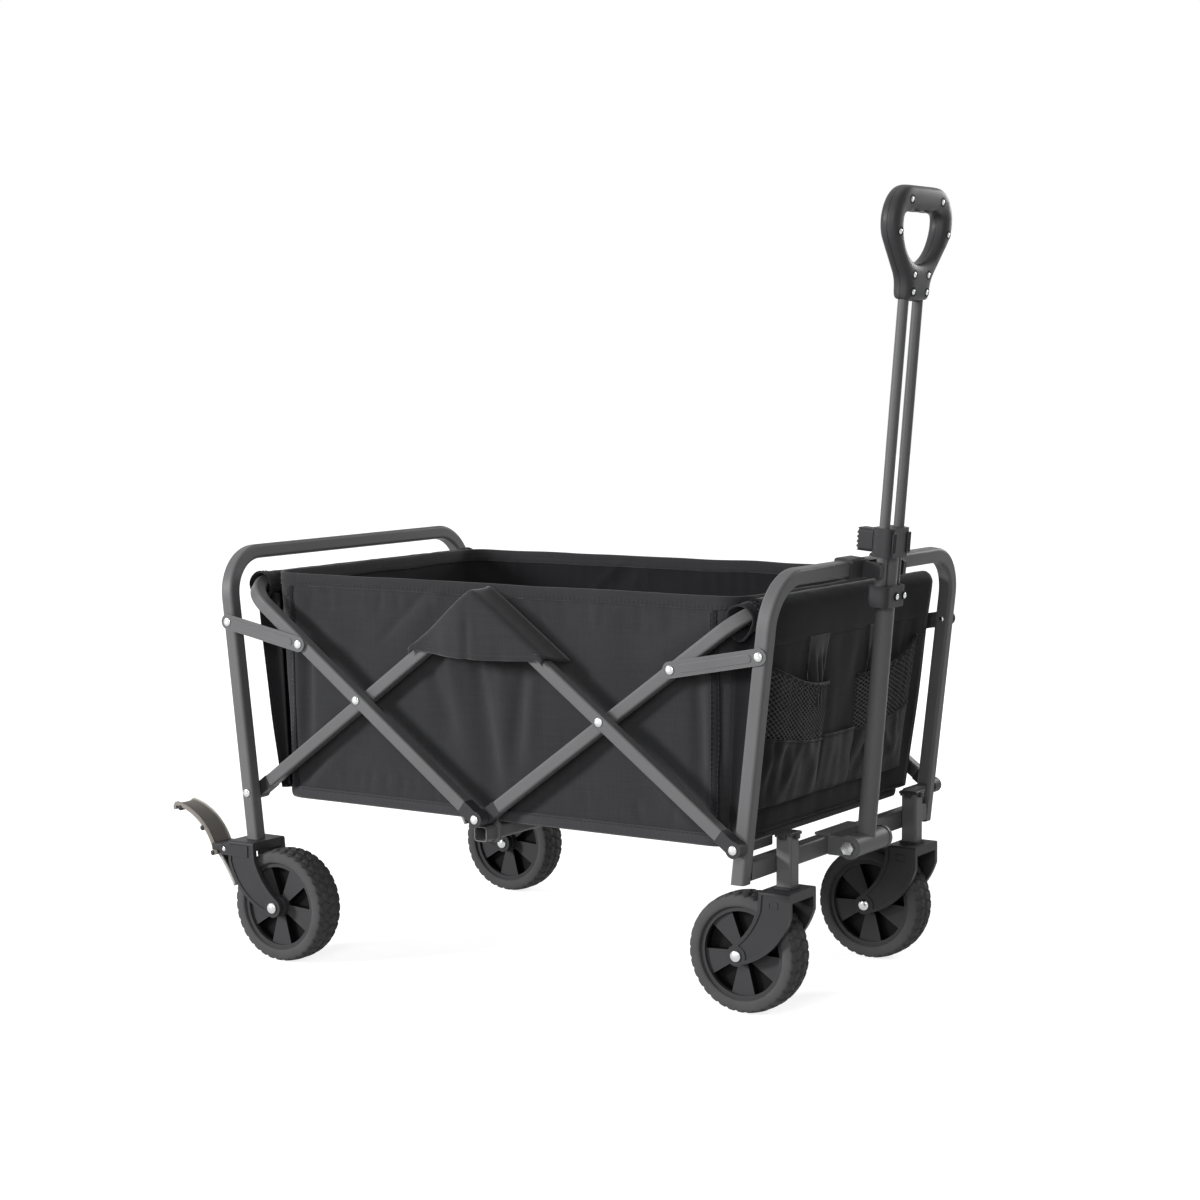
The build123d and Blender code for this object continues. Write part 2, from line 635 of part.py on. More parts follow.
# Pegs on the inside of the front legs
with BuildPart() as leg_pegs:
    for side in SIDES.values():
        with Locations((PIVOT_X, side * (INNER_Y - FRAME_TUBE / 2 - PEG_LENGTH / 2), PIVOT_Z)):
            Box(PEG, PEG_LENGTH, PEG)
    chamfer(leg_pegs.edges().filter_by(Axis.Y), length=PEG / 8)
save(leg_pegs, "leg_pegs")


def cheek_outline(inset=0.0):
    """Curved fork cheek, with the axle at the origin and the stem along +x."""
    back = TRAIL - CROWN_LENGTH / 2
    front = TRAIL + CROWN_LENGTH / 2
    eye = FORK_EYE_R * cos(radians(FORK_EYE_TURN))
    eye_low = FORK_EYE_R * sin(radians(FORK_EYE_TURN))
    with BuildLine() as outline:
        Polyline(CHEEK_BACK, (back, FORK_TOP), (front, FORK_TOP), (front, CHEEK_FRONT_Z))
        ThreePointArc((front, CHEEK_FRONT_Z), CHEEK_BELLY, (eye, -eye_low))
        ThreePointArc((eye, -eye_low), (-eye_low, -eye), (-eye, eye_low))
        ThreePointArc((-eye, eye_low), CHEEK_HOLLOW, CHEEK_BACK)
    make_face(outline.edges())
    if inset:
        offset(amount=-inset, mode=Mode.REPLACE)


def fork(x, y, way):
    """Moulded fork: two cheeks with raised borders under one crown."""
    cheek_face = TYRE_W / 2 + FORK_GAP
    for side in SIDES.values():
        outward = -way * side
        inside = Plane(
            origin=(x, y + side * cheek_face, WHEEL_R), x_dir=(way, 0, 0), z_dir=(0, -way, 0)
        )
        outside = inside.offset(outward * (CHEEK - CHEEK_RECESS))
        with BuildSketch(inside) as cheek:
            cheek_outline()
        extrude(cheek.sketch, amount=outward * CHEEK)
        with BuildSketch(outside) as recess:
            cheek_outline(CHEEK_BORDER)
            Circle(FORK_EYE_R, mode=Mode.SUBTRACT)
        extrude(recess.sketch, amount=outward * CHEEK, mode=Mode.SUBTRACT)
    with Locations((x + way * TRAIL, y, CROWN_TOP_Z)):
        Box(CROWN_LENGTH, 2 * cheek_face, CROWN, align=(Align.CENTER, Align.CENTER, Align.MAX))
    with Locations(Location((x, y, WHEEL_R), (90, 0, 0))):
        Cylinder(AXLE_D / 2, 4 * cheek_face, mode=Mode.SUBTRACT)


def axle(x, y):
    """Axle bolt through both cheeks, headed at each end."""
    reach = TYRE_W / 2 + FORK_GAP + CHEEK
    sideways_bar(x, WHEEL_R, AXLE_D / 2, y - reach, y + reach)
    for side in SIDES.values():
        tapered_head(x, y + side * reach, WHEEL_R, side, AXLE_HEAD_D, AXLE_HEAD)


# Rear forks, fixed under the legs, and their axles
PEDAL_PIN_X = -REAR_AXLE_X - PEDAL_PIVOT[0]
PEDAL_PIN_Z = WHEEL_R + PEDAL_PIVOT[1]
LUG_HALF = TYRE_W / 2 + FORK_GAP
for side_name, side in SIDES.items():
    with BuildPart() as rear_fork:
        fork(AXLE_X["rear"], side * OUTER_Y, -1)
        fillet(rear_fork.edges().group_by(Axis.Z)[-1].filter_by(Axis.X), radius=CROWN_EDGE)
        for lug in SIDES.values():
            lug_y = side * OUTER_Y + lug * LUG_HALF
            ear = Plane(origin=(PEDAL_PIN_X, lug_y, PEDAL_PIN_Z), x_dir=(1, 0, 0), z_dir=(0, -1, 0))
            with BuildSketch(ear):
                Circle(PEDAL_BARREL_R)
                with Locations((PEDAL_PIVOT[0] / 4, 0)):
                    Rectangle(PEDAL_PIVOT[0] / 2, 2 * PEDAL_BARREL_R)
            extrude(amount=-lug * CHEEK)
        with Locations(Location((PEDAL_PIN_X, side * OUTER_Y, PEDAL_PIN_Z), (90, 0, 0))):
            Cylinder(PEDAL_PIN_D / 2, 2 * TYRE_W, mode=Mode.SUBTRACT)
    save(rear_fork, f"rear_fork_{side_name}")

with BuildPart() as rear_axles:
    for side in SIDES.values():
        axle(AXLE_X["rear"], side * OUTER_Y)
        reach = LUG_HALF + CHEEK
        sideways_bar(
            PEDAL_PIN_X, PEDAL_PIN_Z, PEDAL_PIN_D / 2, side * OUTER_Y - reach, side * OUTER_Y + reach
        )
save(rear_axles, "rear_axles")

# Caster forks, with the pins that they swivel and roll on
for side_name, side in SIDES.items():
    y = side * POST_Y
    with BuildPart() as caster_fork:
        fork(FRONT_AXLE_X, y, 1)
        fillet(caster_fork.edges().group_by(Axis.Z)[-1].filter_by(Axis.X), radius=CROWN_EDGE)
        with Locations((POST_X, y, CROWN_TOP_Z)):
            Cylinder(KINGPIN_D / 2, 2 * CROWN, mode=Mode.SUBTRACT)
    save(caster_fork, f"caster_fork_{side_name}")

    with BuildPart() as caster_pins:
        axle(FRONT_AXLE_X, y)
        with Locations((POST_X, y, CROWN_TOP_Z - CROWN)):
            Cylinder(
                KINGPIN_D / 2,
                KINGPIN_TOP - CROWN_TOP_Z + CROWN,
                align=(Align.CENTER, Align.CENTER, Align.MIN),
            )
    save(caster_pins, f"caster_pins_{side_name}")

# Wheels: a spoked rim and a lugged tyre at each corner
for end in ENDS:
    for side_name, side in SIDES.items():
        hub = (AXLE_X[end], side * WHEEL_Y[end], WHEEL_R)
        face = Plane(origin=hub, x_dir=(1, 0, 0), z_dir=(0, 1, 0))
        radial = Plane(origin=hub, x_dir=(0, 0, 1), z_dir=(1, 0, 0))
        spin = Axis(hub, (0, 1, 0))
        with BuildPart() as rim:
            with BuildSketch(radial):
                with Locations((RIM_R - RIM_RING / 2, 0)):
                    Rectangle(RIM_RING, RIM_W)
                with Locations((RIM_R / 2, 0)):
                    Rectangle(RIM_R - RIM_RING, RIM_WEB)
                with Locations((HUB_R / 2, 0)):
                    Rectangle(HUB_R, TYRE_W)
                with Locations((AXLE_D / 4, 0)):
                    Rectangle(AXLE_D / 2 + 2 * RUNNING_FIT, 2 * TYRE_W, mode=Mode.SUBTRACT)
            revolve(axis=spin)
            inner = HUB_R - SINK
            outer = RIM_R - RIM_RING / 2
            with BuildSketch(face):
                with PolarLocations(0, SPOKES, start_angle=90):
                    Polygon(
                        (inner, -SPOKE_ROOT),
                        (outer, -SPOKE_END),
                        (outer, SPOKE_END),
                        (inner, SPOKE_ROOT),
                        align=None,
                    )
            extrude(amount=SPOKE_W / 2, both=True)
        save(rim, f"{end}_rim_{side_name}")

        with BuildPart() as tyre:
            root = WHEEL_R - TREAD_DEPTH
            pitch = 360 / TREAD_LUGS
            lug = root * radians(pitch) * LUG_SHARE / 2
            for half in SIDES.values():
                with BuildSketch(face):
                    Circle(root)
                    with PolarLocations(0, TREAD_LUGS, start_angle=half * pitch / 4):
                        Polygon(
                            (root - SINK, -lug),
                            (WHEEL_R + SINK, -lug * LUG_TAPER),
                            (WHEEL_R + SINK, lug * LUG_TAPER),
                            (root - SINK, lug),
                            align=None,
                        )
                    Circle(RIM_R, mode=Mode.SUBTRACT)
                extrude(amount=half * TYRE_W / 2)
            shoulder_r = WHEEL_R - SHOULDER
            bead = TYRE_W / 2 - SIDEWALL_TUCK
            with BuildSketch(radial):
                with BuildLine():
                    Polyline(
                        (shoulder_r, TYRE_W / 2),
                        (RIM_R, bead),
                        (RIM_R, -bead),
                        (shoulder_r, -TYRE_W / 2),
                    )
                    ThreePointArc((shoulder_r, -TYRE_W / 2), (WHEEL_R, 0), (shoulder_r, TYRE_W / 2))
                make_face()
            revolve(axis=spin, mode=Mode.INTERSECT)
        save(tyre, f"{end}_tyre_{side_name}")

# Brake pedals: a curved foot plate, its barrel and the tongue that meets the tyre
for side_name, side in SIDES.items():
    pin = (PEDAL_PIN_X, side * OUTER_Y, PEDAL_PIN_Z)
    profile = Plane(origin=pin, x_dir=(-1, 0, 0), z_dir=(0, 1, 0))
    with BuildPart() as pedal:
        with BuildSketch(profile):
            with BuildLine():
                ThreePointArc(PEDAL_FOOT, PEDAL_SHANK, PEDAL_BEND)
            trace(line_width=PEDAL_SHEET)
            Circle(PEDAL_BARREL_R)
            with Locations((PEDAL_ARM / 2, 0)):
                Rectangle(PEDAL_ARM, 2 * PEDAL_BARREL_R)
            Circle(PEDAL_PIN_D / 2 + RUNNING_FIT, mode=Mode.SUBTRACT)
        extrude(amount=PEDAL_W / 2, both=True)
        with BuildSketch(profile):
            with BuildLine():
                ThreePointArc(PEDAL_BEND, PEDAL_CREST, PEDAL_TIP)
            trace(line_width=PEDAL_SHEET)
        extrude(amount=PLATE_W / 2, both=True)
    save(pedal, f"brake_pedal_{side_name}")

# Handle bracket on the crossbar, its pivot bolt and the cradle on the top bar
EAR_INSIDE = SLEEVE_HALF + PLAY
BRACKET_HALF = EAR_INSIDE + EAR
with BuildPart() as handle_bracket:
    with Locations((CROSSBAR_FACE, 0, CROSSBAR_Z)):
        Box(BRACKET_SHEET, 2 * BRACKET_HALF, CROSSBAR_H, align=(Align.MIN, Align.CENTER, Align.CENTER))
    with Locations((CROSSBAR_FACE + BRACKET_SHEET, 0, CROSSBAR_Z + CROSSBAR_H / 2)):
        Box(
            FRAME_TUBE + BRACKET_SHEET,
            2 * BRACKET_HALF,
            BRACKET_SHEET,
            align=(Align.MAX, Align.CENTER, Align.MIN),
        )
    for side in SIDES.values():
        ear = Plane(origin=(HANDLE_X, side * EAR_INSIDE, CROSSBAR_Z), x_dir=(1, 0, 0), z_dir=(0, -1, 0))
        with BuildSketch(ear):
            Circle(EAR_R)
            with Locations(((CROSSBAR_FACE - HANDLE_X) / 2, 0)):
                Rectangle(HANDLE_X - CROSSBAR_FACE, CROSSBAR_H)
        extrude(amount=-side * EAR)
    sideways_hole(HANDLE_X, CROSSBAR_Z, HANDLE_BOLT_D / 2)
save(handle_bracket, "handle_bracket")

with BuildPart() as handle_bolt:
    sideways_bar(HANDLE_X, CROSSBAR_Z, HANDLE_BOLT_D / 2, -BRACKET_HALF, BRACKET_HALF)
    for side in SIDES.values():
        with BuildSketch(
            Plane(origin=(HANDLE_X, side * BRACKET_HALF, CROSSBAR_Z), x_dir=(1, 0, 0), z_dir=(0, side, 0))
        ):
            RegularPolygon(BOLT_HEAD_D / 2, 6)
        extrude(amount=BOLT_HEAD)
save(handle_bolt, "handle_bolt")

TOP_BAR_X = PIVOT_X + (TOP_BAR_Z - PIVOT_Z) * LEAN_TAN
HANDLE_SIN = sin(radians(HANDLE_LEAN))
HANDLE_COS = cos(radians(HANDLE_LEAN))
STEM_X_AT_BAR = HANDLE_X + (TOP_BAR_Z - CROSSBAR_Z) * tan(radians(HANDLE_LEAN))
with BuildPart() as handle_clip:
    wrap = Plane(
        origin=(TOP_BAR_X, 0, TOP_BAR_Z), x_dir=(LEAN_COS, 0, -LEAN_SIN), z_dir=(0, -1, 0)
    )
    for side in SIDES.values():
        with BuildSketch(wrap.offset(-side * CLIP_GAP)):
            RectangleRounded(FRAME_TUBE + 2 * CLIP_SHEET, FRAME_TUBE + 2 * CLIP_SHEET, FRAME_CORNER)
            RectangleRounded(FRAME_TUBE, FRAME_TUBE, FRAME_CORNER, mode=Mode.SUBTRACT)
        extrude(amount=-side * CLIP_WRAP)
        prong_end = STEM_X_AT_BAR - TOP_BAR_X + ROD_D / 2
        prong_start = FRAME_TUBE / 2
        with BuildSketch(wrap.offset(-side * CLIP_GAP)):
            with Locations(((prong_start + prong_end) / 2, 0)):
                RectangleRounded(prong_end - prong_start, FRAME_TUBE, CLIP_SHEET)
        extrude(amount=-side * CLIP_PRONG)
    with BuildSketch(wrap.offset(-CLIP_GAP)):
        with Locations((FRAME_TUBE / 2 + CLIP_SHEET / 2, 0)):
            Rectangle(CLIP_SHEET, FRAME_TUBE)
    extrude(amount=2 * CLIP_GAP)
save(handle_clip, "handle_clip")

# Handle stem with its pivot sleeve; the handle's own plane runs along its axis
STEM_TOP = LOCK_BOTTOM + LOCK_HEIGHT - TUBE_WALL
handle_plane = Plane(
    origin=(HANDLE_X, 0, CROSSBAR_Z),
    x_dir=(HANDLE_COS, 0, -HANDLE_SIN),
    z_dir=(HANDLE_SIN, 0, HANDLE_COS),
)
LOCK_MIDDLE = LOCK_BOTTOM + LOCK_HEIGHT / 2
button_plane = Plane(
    origin=handle_plane.from_local_coords((0, 0, LOCK_MIDDLE)),
    x_dir=(0, 1, 0),
    z_dir=(-HANDLE_COS, 0, HANDLE_SIN),
)
with BuildPart() as handle_stem:
    with BuildSketch(handle_plane):
        Circle(STEM_D / 2)
    extrude(amount=STEM_TOP)
    sideways_bar(HANDLE_X, CROSSBAR_Z, SLEEVE_D / 2, -SLEEVE_HALF, SLEEVE_HALF)
    with BuildSketch(handle_plane.offset(SLEEVE_D / 2 + STEM_WALL)):
        Circle(STEM_D / 2 - STEM_WALL)
    extrude(amount=STEM_TOP, mode=Mode.SUBTRACT)
    sideways_hole(HANDLE_X, CROSSBAR_Z, HANDLE_BOLT_D / 2 + RUNNING_FIT)
    with BuildSketch(button_plane):
        Circle(BUTTON_STEM_D / 2 + OPEN_FIT)
    extrude(amount=STEM_D, mode=Mode.SUBTRACT)
save(handle_stem, "handle_stem")

# Lock block fixed on top of the stem, with a bore for each sliding rod
with BuildPart() as lock_block:
    with BuildSketch(handle_plane.offset(LOCK_BOTTOM)):
        RectangleRounded(LOCK_DEPTH, LOCK_WIDTH, LOCK_CORNER)
    extrude(amount=LOCK_HEIGHT)
    with BuildSketch(handle_plane.offset(LOCK_BOTTOM)):
        with GridLocations(0, ROD_SPACING, 1, 2):
            Circle(ROD_D / 2 + RUNNING_FIT)
    extrude(amount=LOCK_HEIGHT, mode=Mode.SUBTRACT)
    with BuildSketch(handle_plane.offset(LOCK_BOTTOM)):
        Circle(STEM_D / 2)
    extrude(amount=STEM_TOP - LOCK_BOTTOM, mode=Mode.SUBTRACT)
    with BuildSketch(button_plane):
        Circle(BUTTON_STEM_D / 2 + OPEN_FIT)
    extrude(amount=LOCK_DEPTH, mode=Mode.SUBTRACT)
save(lock_block, "lock_block")

# Release button behind the lock block
BUTTON_FACE = LOCK_DEPTH / 2 + BUTTON_TRAVEL + PLAY
with BuildPart() as lock_button:
    with BuildSketch(button_plane.offset(BUTTON_FACE)):
        RectangleRounded(BUTTON_W, BUTTON_H, BUTTON_W / 6)
    extrude(amount=BUTTON_DEPTH)
    with BuildSketch(button_plane.offset(STEM_D / 4)):
        Circle(BUTTON_STEM_D / 2)
    extrude(amount=BUTTON_FACE - STEM_D / 4)
    rib = BUTTON_H / (2 * BUTTON_RIBS)
    with BuildSketch(button_plane.offset(BUTTON_FACE + BUTTON_DEPTH)):
        with GridLocations(0, 2 * rib, 1, BUTTON_RIBS):
            Rectangle(BUTTON_W, rib)
    extrude(amount=-rib / 2, mode=Mode.SUBTRACT)
save(lock_button, "lock_button")

# Sliding rods, the collar at their lower ends and the grip at the top
with BuildPart() as handle_rods:
    with BuildSketch(handle_plane.offset(COLLAR_BOTTOM)):
        with GridLocations(0, ROD_SPACING, 1, 2):
            Circle(ROD_D / 2)
            Circle(ROD_D / 2 - STEM_WALL, mode=Mode.SUBTRACT)
    extrude(amount=GRIP_BOTTOM + ROD_SOCKET - COLLAR_BOTTOM)
save(handle_rods, "handle_rods")

with BuildPart() as handle_collar:
    with BuildSketch(handle_plane.offset(COLLAR_BOTTOM)):
        RectangleRounded(LOCK_DEPTH, LOCK_WIDTH, LOCK_CORNER)
        Circle(STEM_D / 2 + RUNNING_FIT, mode=Mode.SUBTRACT)
        with GridLocations(0, ROD_SPACING, 1, 2):
            Circle(ROD_D / 2, mode=Mode.SUBTRACT)
    extrude(amount=COLLAR_HEIGHT)
save(handle_collar, "handle_collar")

grip_origin = handle_plane.from_local_coords((0, 0, GRIP_BOTTOM))
for shell, way in ENDS.items():
    grip_plane = Plane(origin=grip_origin, x_dir=(0, way, 0), z_dir=handle_plane.x_dir * way)
    with BuildPart() as grip_shell:
        with BuildSketch(grip_plane):
            with BuildLine():
                Polyline(
                    (-NECK_HALF, 0),
                    (NECK_HALF, 0),
                    (NECK_HALF, NECK_HEIGHT),
                    (GRIP_HALF, GRIP_SHOULDER),
                    (GRIP_HALF, GRIP_HEIGHT),
                    (-GRIP_HALF, GRIP_HEIGHT),
                    (-GRIP_HALF, GRIP_SHOULDER),
                    (-NECK_HALF, NECK_HEIGHT),
                    close=True,
                )
            make_face()
            fillet(vertices().group_by(Axis.Y)[-1], radius=GRIP_CORNER)
            fillet(vertices().group_by(Axis.Y)[1], radius=NECK_HALF)
            fillet(vertices().group_by(Axis.Y)[3], radius=SHOULDER_R)
        extrude(amount=GRIP_THICK / 2)
        with BuildSketch(grip_plane):
            with BuildLine():
                Polyline(
                    (-HAND_HALF, HAND_SIDE),
                    (-HAND_HALF, HAND_TOP),
                    (HAND_HALF, HAND_TOP),
                    (HAND_HALF, HAND_SIDE),
                )
                ThreePointArc((HAND_HALF, HAND_SIDE), (0, HAND_BOTTOM), (-HAND_HALF, HAND_SIDE))
            make_face()
            fillet(vertices().group_by(Axis.Y)[-1], radius=HAND_CORNER)
        extrude(amount=GRIP_THICK, mode=Mode.SUBTRACT)
        broad_face = grip_shell.faces().sort_by(Axis(grip_origin, grip_plane.z_dir))[-1]
        fillet(broad_face.edges(), radius=GRIP_EDGE)
        with BuildSketch(grip_plane):
            with Locations((0, HAND_TOP + FINGER_DEPTH - FINGER_R)):
                with GridLocations(FINGER_PITCH, 0, FINGERS, 1):
                    Circle(FINGER_R)
        extrude(amount=GRIP_THICK, mode=Mode.SUBTRACT)
        with BuildSketch(handle_plane.offset(GRIP_BOTTOM)):
            with GridLocations(0, ROD_SPACING, 1, 2):
                Circle(ROD_D / 2)
        extrude(amount=ROD_SOCKET, mode=Mode.SUBTRACT)
    save(grip_shell, f"grip_{shell}_shell")
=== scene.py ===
import math
import random
from bisect import bisect_right

import bmesh
import bpy
from mathutils import Matrix, Vector, noise
from mathutils.bvhtree import BVHTree


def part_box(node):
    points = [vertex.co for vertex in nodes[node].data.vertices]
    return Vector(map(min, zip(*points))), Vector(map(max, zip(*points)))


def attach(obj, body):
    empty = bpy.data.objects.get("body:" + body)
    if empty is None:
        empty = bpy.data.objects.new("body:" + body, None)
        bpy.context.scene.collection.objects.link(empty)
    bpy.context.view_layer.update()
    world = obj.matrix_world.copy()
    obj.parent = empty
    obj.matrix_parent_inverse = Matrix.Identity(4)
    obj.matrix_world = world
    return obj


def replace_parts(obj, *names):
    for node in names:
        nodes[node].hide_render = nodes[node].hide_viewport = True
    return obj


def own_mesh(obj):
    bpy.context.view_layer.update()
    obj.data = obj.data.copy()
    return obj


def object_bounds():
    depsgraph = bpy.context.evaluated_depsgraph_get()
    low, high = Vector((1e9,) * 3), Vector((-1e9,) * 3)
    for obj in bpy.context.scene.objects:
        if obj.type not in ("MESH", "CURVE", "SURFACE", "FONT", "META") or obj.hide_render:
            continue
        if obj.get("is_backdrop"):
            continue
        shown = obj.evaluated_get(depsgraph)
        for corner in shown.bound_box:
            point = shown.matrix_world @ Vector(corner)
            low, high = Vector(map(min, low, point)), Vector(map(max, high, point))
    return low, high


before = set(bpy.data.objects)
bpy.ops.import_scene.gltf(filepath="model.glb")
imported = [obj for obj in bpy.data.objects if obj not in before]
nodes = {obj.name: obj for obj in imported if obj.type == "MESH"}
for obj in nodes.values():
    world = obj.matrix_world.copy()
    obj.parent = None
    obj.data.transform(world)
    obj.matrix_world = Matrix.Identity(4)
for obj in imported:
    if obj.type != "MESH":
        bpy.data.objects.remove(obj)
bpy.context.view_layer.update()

# Sizes below are in millimetres, in the frame's own axes; meshes are written in metres
MM = 0.001
SIDES = {"right": -1, "left": 1}
ENDS = {"rear": -1, "front": 1}


def mm_box(node):
    """Lowest and highest corner of a CAD node, in millimetres."""
    low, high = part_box(node)
    return low / MM, high / MM


def smooth_step(value, low, high):
    """0 below low, 1 above high and an S curve between them."""
    t = min(1.0, max(0.0, (value - low) / (high - low)))
    return t * t * (3 - 2 * t)


def shares(count):
    """Even steps from 0 to 1, with both ends."""
    return [step / count for step in range(count + 1)]


def spread(count):
    """Even steps from -1 to 1, with both ends."""
    return [2 * step / count - 1 for step in range(count + 1)]


def ripple(x, y, z):
    """Smooth noise at a place."""
    return noise.noise(Vector((x, y, z)))


def placed(name, data):
    """A new object in the scene."""
    made = bpy.data.objects.new(name, data)
    bpy.context.scene.collection.objects.link(made)
    return made


# Material nodes

def shade(colour, factor):
    """A colour made lighter or darker by one factor."""
    return tuple(channel * factor for channel in colour)


class Nodes:
    """The node tree of a material or world, with short calls to add and join nodes."""

    def __init__(self, holder):
        holder.use_nodes = True
        self.tree = holder.node_tree

    def join(self, source, target):
        self.tree.links.new(source, target)

    def feed(self, target, value):
        """Set a socket to a constant, or join another socket to it."""
        if isinstance(value, bpy.types.NodeSocket):
            self.join(value, target)
        else:
            target.default_value = value

    def node(self, kind, values=(), output=0, **settings):
        """Add a node, feed its inputs, given in order or by name, and give one of its outputs."""
        made = self.tree.nodes.new(kind)
        for name, setting in settings.items():
            setattr(made, name, setting)
        for key, value in values.items() if isinstance(values, dict) else enumerate(values):
            self.feed(made.inputs[key], value)
        return made.outputs[output]

    def math(self, operation, *values):
        return self.node("ShaderNodeMath", values, operation=operation)

    def vector(self, operation, *values):
        return self.node("ShaderNodeVectorMath", values, "Value", operation=operation)

    def ramp(self, value, low, high, start, end):
        """Map a value from one range to another, held at both ends."""
        return self.node("ShaderNodeMapRange", (value, low, high, start, end))

    def mix(self, factor, first, second):
        ends = [(*colour, 1.0) if isinstance(colour, tuple) else colour for colour in (first, second)]
        return self.node("ShaderNodeMix", {"Factor": factor, "A": ends[0], "B": ends[1]}, "Result", data_type="RGBA")

    def seen(self):
        """1 for rays that show a thing to the camera, straight, in a reflection or through glass."""
        rays = self.tree.nodes.new("ShaderNodeLightPath").outputs
        seen = self.math("MAXIMUM", rays["Is Camera Ray"], rays["Is Glossy Ray"])
        return self.math("MAXIMUM", seen, rays["Is Transmission Ray"])


class Shader(Nodes):
    """A new material's nodes, placed by the object's own axes in metres."""

    def __init__(self, name):
        self.material = bpy.data.materials.new(name)
        super().__init__(self.material)
        self.surface = self.tree.nodes["Principled BSDF"]
        self.place = self.node("ShaderNodeTexCoord", output="Object")

    def axis(self, name):
        return self.node("ShaderNodeSeparateXYZ", [self.place], name)

    def stretched(self, scale):
        """The place, scaled by a factor for each axis."""
        return self.node("ShaderNodeMapping", {"Vector": self.place, "Scale": scale})

    def noise(self, scale, detail=2.0, place=None):
        values = {"Vector": place or self.place, "Scale": scale, "Detail": detail}
        return self.node("ShaderNodeTexNoise", values, "Fac")

    def bump(self, height, distance, strength, **under):
        """Relief from a height, on top of another normal if one is given."""
        return self.node("ShaderNodeBump", {"Strength": strength, "Distance": distance, "Height": height, **under})

    def edges(self, radius):
        """1 where a rounded edge is near, 0 on flat faces."""
        rounded = self.node("ShaderNodeBevel", {"Radius": radius}, samples=4)
        plain = self.node("ShaderNodeNewGeometry", output="Normal")
        return self.ramp(self.vector("DOT_PRODUCT", rounded, plain), 0.995, 0.90, 0.0, 1.0)

    def tints(self, factor, colour, low, high):
        """A colour that runs from one shade of it to another."""
        return self.mix(factor, shade(colour, low), shade(colour, high))

    def rubbed(self, tone, paler, radius, scale):
        """A tone worn paler along the edges, in patches."""
        patches = self.math("MULTIPLY", self.edges(radius), self.noise(scale, 3.0))
        return self.mix(patches, tone, paler)

    def set(self, **values):
        """Set the surface's own sockets, by name with _ for a space."""
        for name, value in values.items():
            self.feed(self.surface.inputs[name.replace("_", " ")], value)


def powder_coat(name, colour):
    """Satin powder coat: fine orange peel, soft mottling and edges rubbed a little lighter."""
    paint = Shader(name)
    mottle = paint.noise(9.0, 4.0)
    tone = paint.rubbed(paint.tints(mottle, colour, 0.86, 1.14), shade(colour, 1.9), 0.0012, 60.0)
    paint.set(Base_Color=tone, Roughness=paint.ramp(mottle, 0.3, 0.7, 0.40, 0.52), Specular_IOR_Level=0.16)
    paint.set(Normal=paint.bump(paint.noise(900.0, 2.0), 0.00006, 0.5))
    return paint.material


def zinc_plate(name):
    """Bright zinc plate with faint turning marks and a little dulling."""
    metal = Shader(name)
    dull = metal.noise(160.0, 3.0)
    tone = metal.mix(dull, (0.40, 0.41, 0.42), (0.62, 0.62, 0.61))
    metal.set(Base_Color=tone, Metallic=1.0, Roughness=metal.ramp(dull, 0.3, 0.75, 0.16, 0.36))
    metal.set(Normal=metal.bump(metal.noise(1400.0), 0.00003, 0.4))
    return metal.material


def moulded(name, colour, roughness=0.5, parting=None):
    """Moulded plastic: fine spark-eroded grain, slow colour drift and paler edges.

    A parting line can be given as a plane: a point in metres and a direction."""
    plastic = Shader(name)
    drift = plastic.noise(14.0, 3.0)
    tone = plastic.rubbed(plastic.tints(drift, colour, 0.82, 1.18), shade(colour, 2.1), 0.0010, 80.0)
    if parting:
        point, facing = parting
        gap = plastic.math("SUBTRACT", plastic.vector("DOT_PRODUCT", plastic.place, facing), point.dot(facing))
        line = plastic.ramp(plastic.math("ABSOLUTE", gap), 0.0002, 0.0005, 1.0, 0.0)
        tone = plastic.mix(line, tone, (0.003, 0.003, 0.003))
    plastic.set(Base_Color=tone, Specular_IOR_Level=0.14)
    plastic.set(Roughness=plastic.ramp(drift, 0.3, 0.7, roughness - 0.06, roughness + 0.08))
    plastic.set(Normal=plastic.bump(plastic.noise(1500.0, 2.0), 0.00005, 0.6))
    return plastic.material


def rim_plastic(name, colour, centre, face_depth):
    """Wheel moulding whose recessed pockets, near the wheel's middle plane, are painted near-black as the shade
    inside them.
    """
    plastic = Shader(name)
    drift = plastic.noise(18.0, 3.0)
    depth = plastic.math("ABSOLUTE", plastic.math("SUBTRACT", plastic.axis("Y"), centre))
    raised = plastic.ramp(depth, face_depth * 0.86, face_depth * 0.98, 0.0, 1.0)
    face = plastic.rubbed(plastic.tints(drift, colour, 0.85, 1.15), shade(colour, 2.0), 0.0010, 90.0)
    # the pockets' near-black is painted shade; the raised faces keep the moulding's colour
    plastic.set(Base_Color=plastic.mix(raised, (0.004, 0.004, 0.004), face), Specular_IOR_Level=0.10)
    plastic.set(Roughness=plastic.ramp(drift, 0.3, 0.7, 0.46, 0.60))
    plastic.set(Normal=plastic.bump(plastic.noise(1400.0), 0.00005, 0.6))
    return plastic.material


def rubber(name, colour):
    """Tyre rubber: matt, dusty on the lugs, with a fine mould texture."""
    tyre = Shader(name)
    dust = tyre.noise(40.0, 5.0)
    tone = tyre.tints(dust, colour, 0.75, 1.3)
    tyre.set(Base_Color=tone, Roughness=tyre.ramp(dust, 0.3, 0.7, 0.66, 0.84), Specular_IOR_Level=0.10)
    tyre.set(Normal=tyre.bump(tyre.noise(700.0, 3.0), 0.00012, 0.6))
    return tyre.material


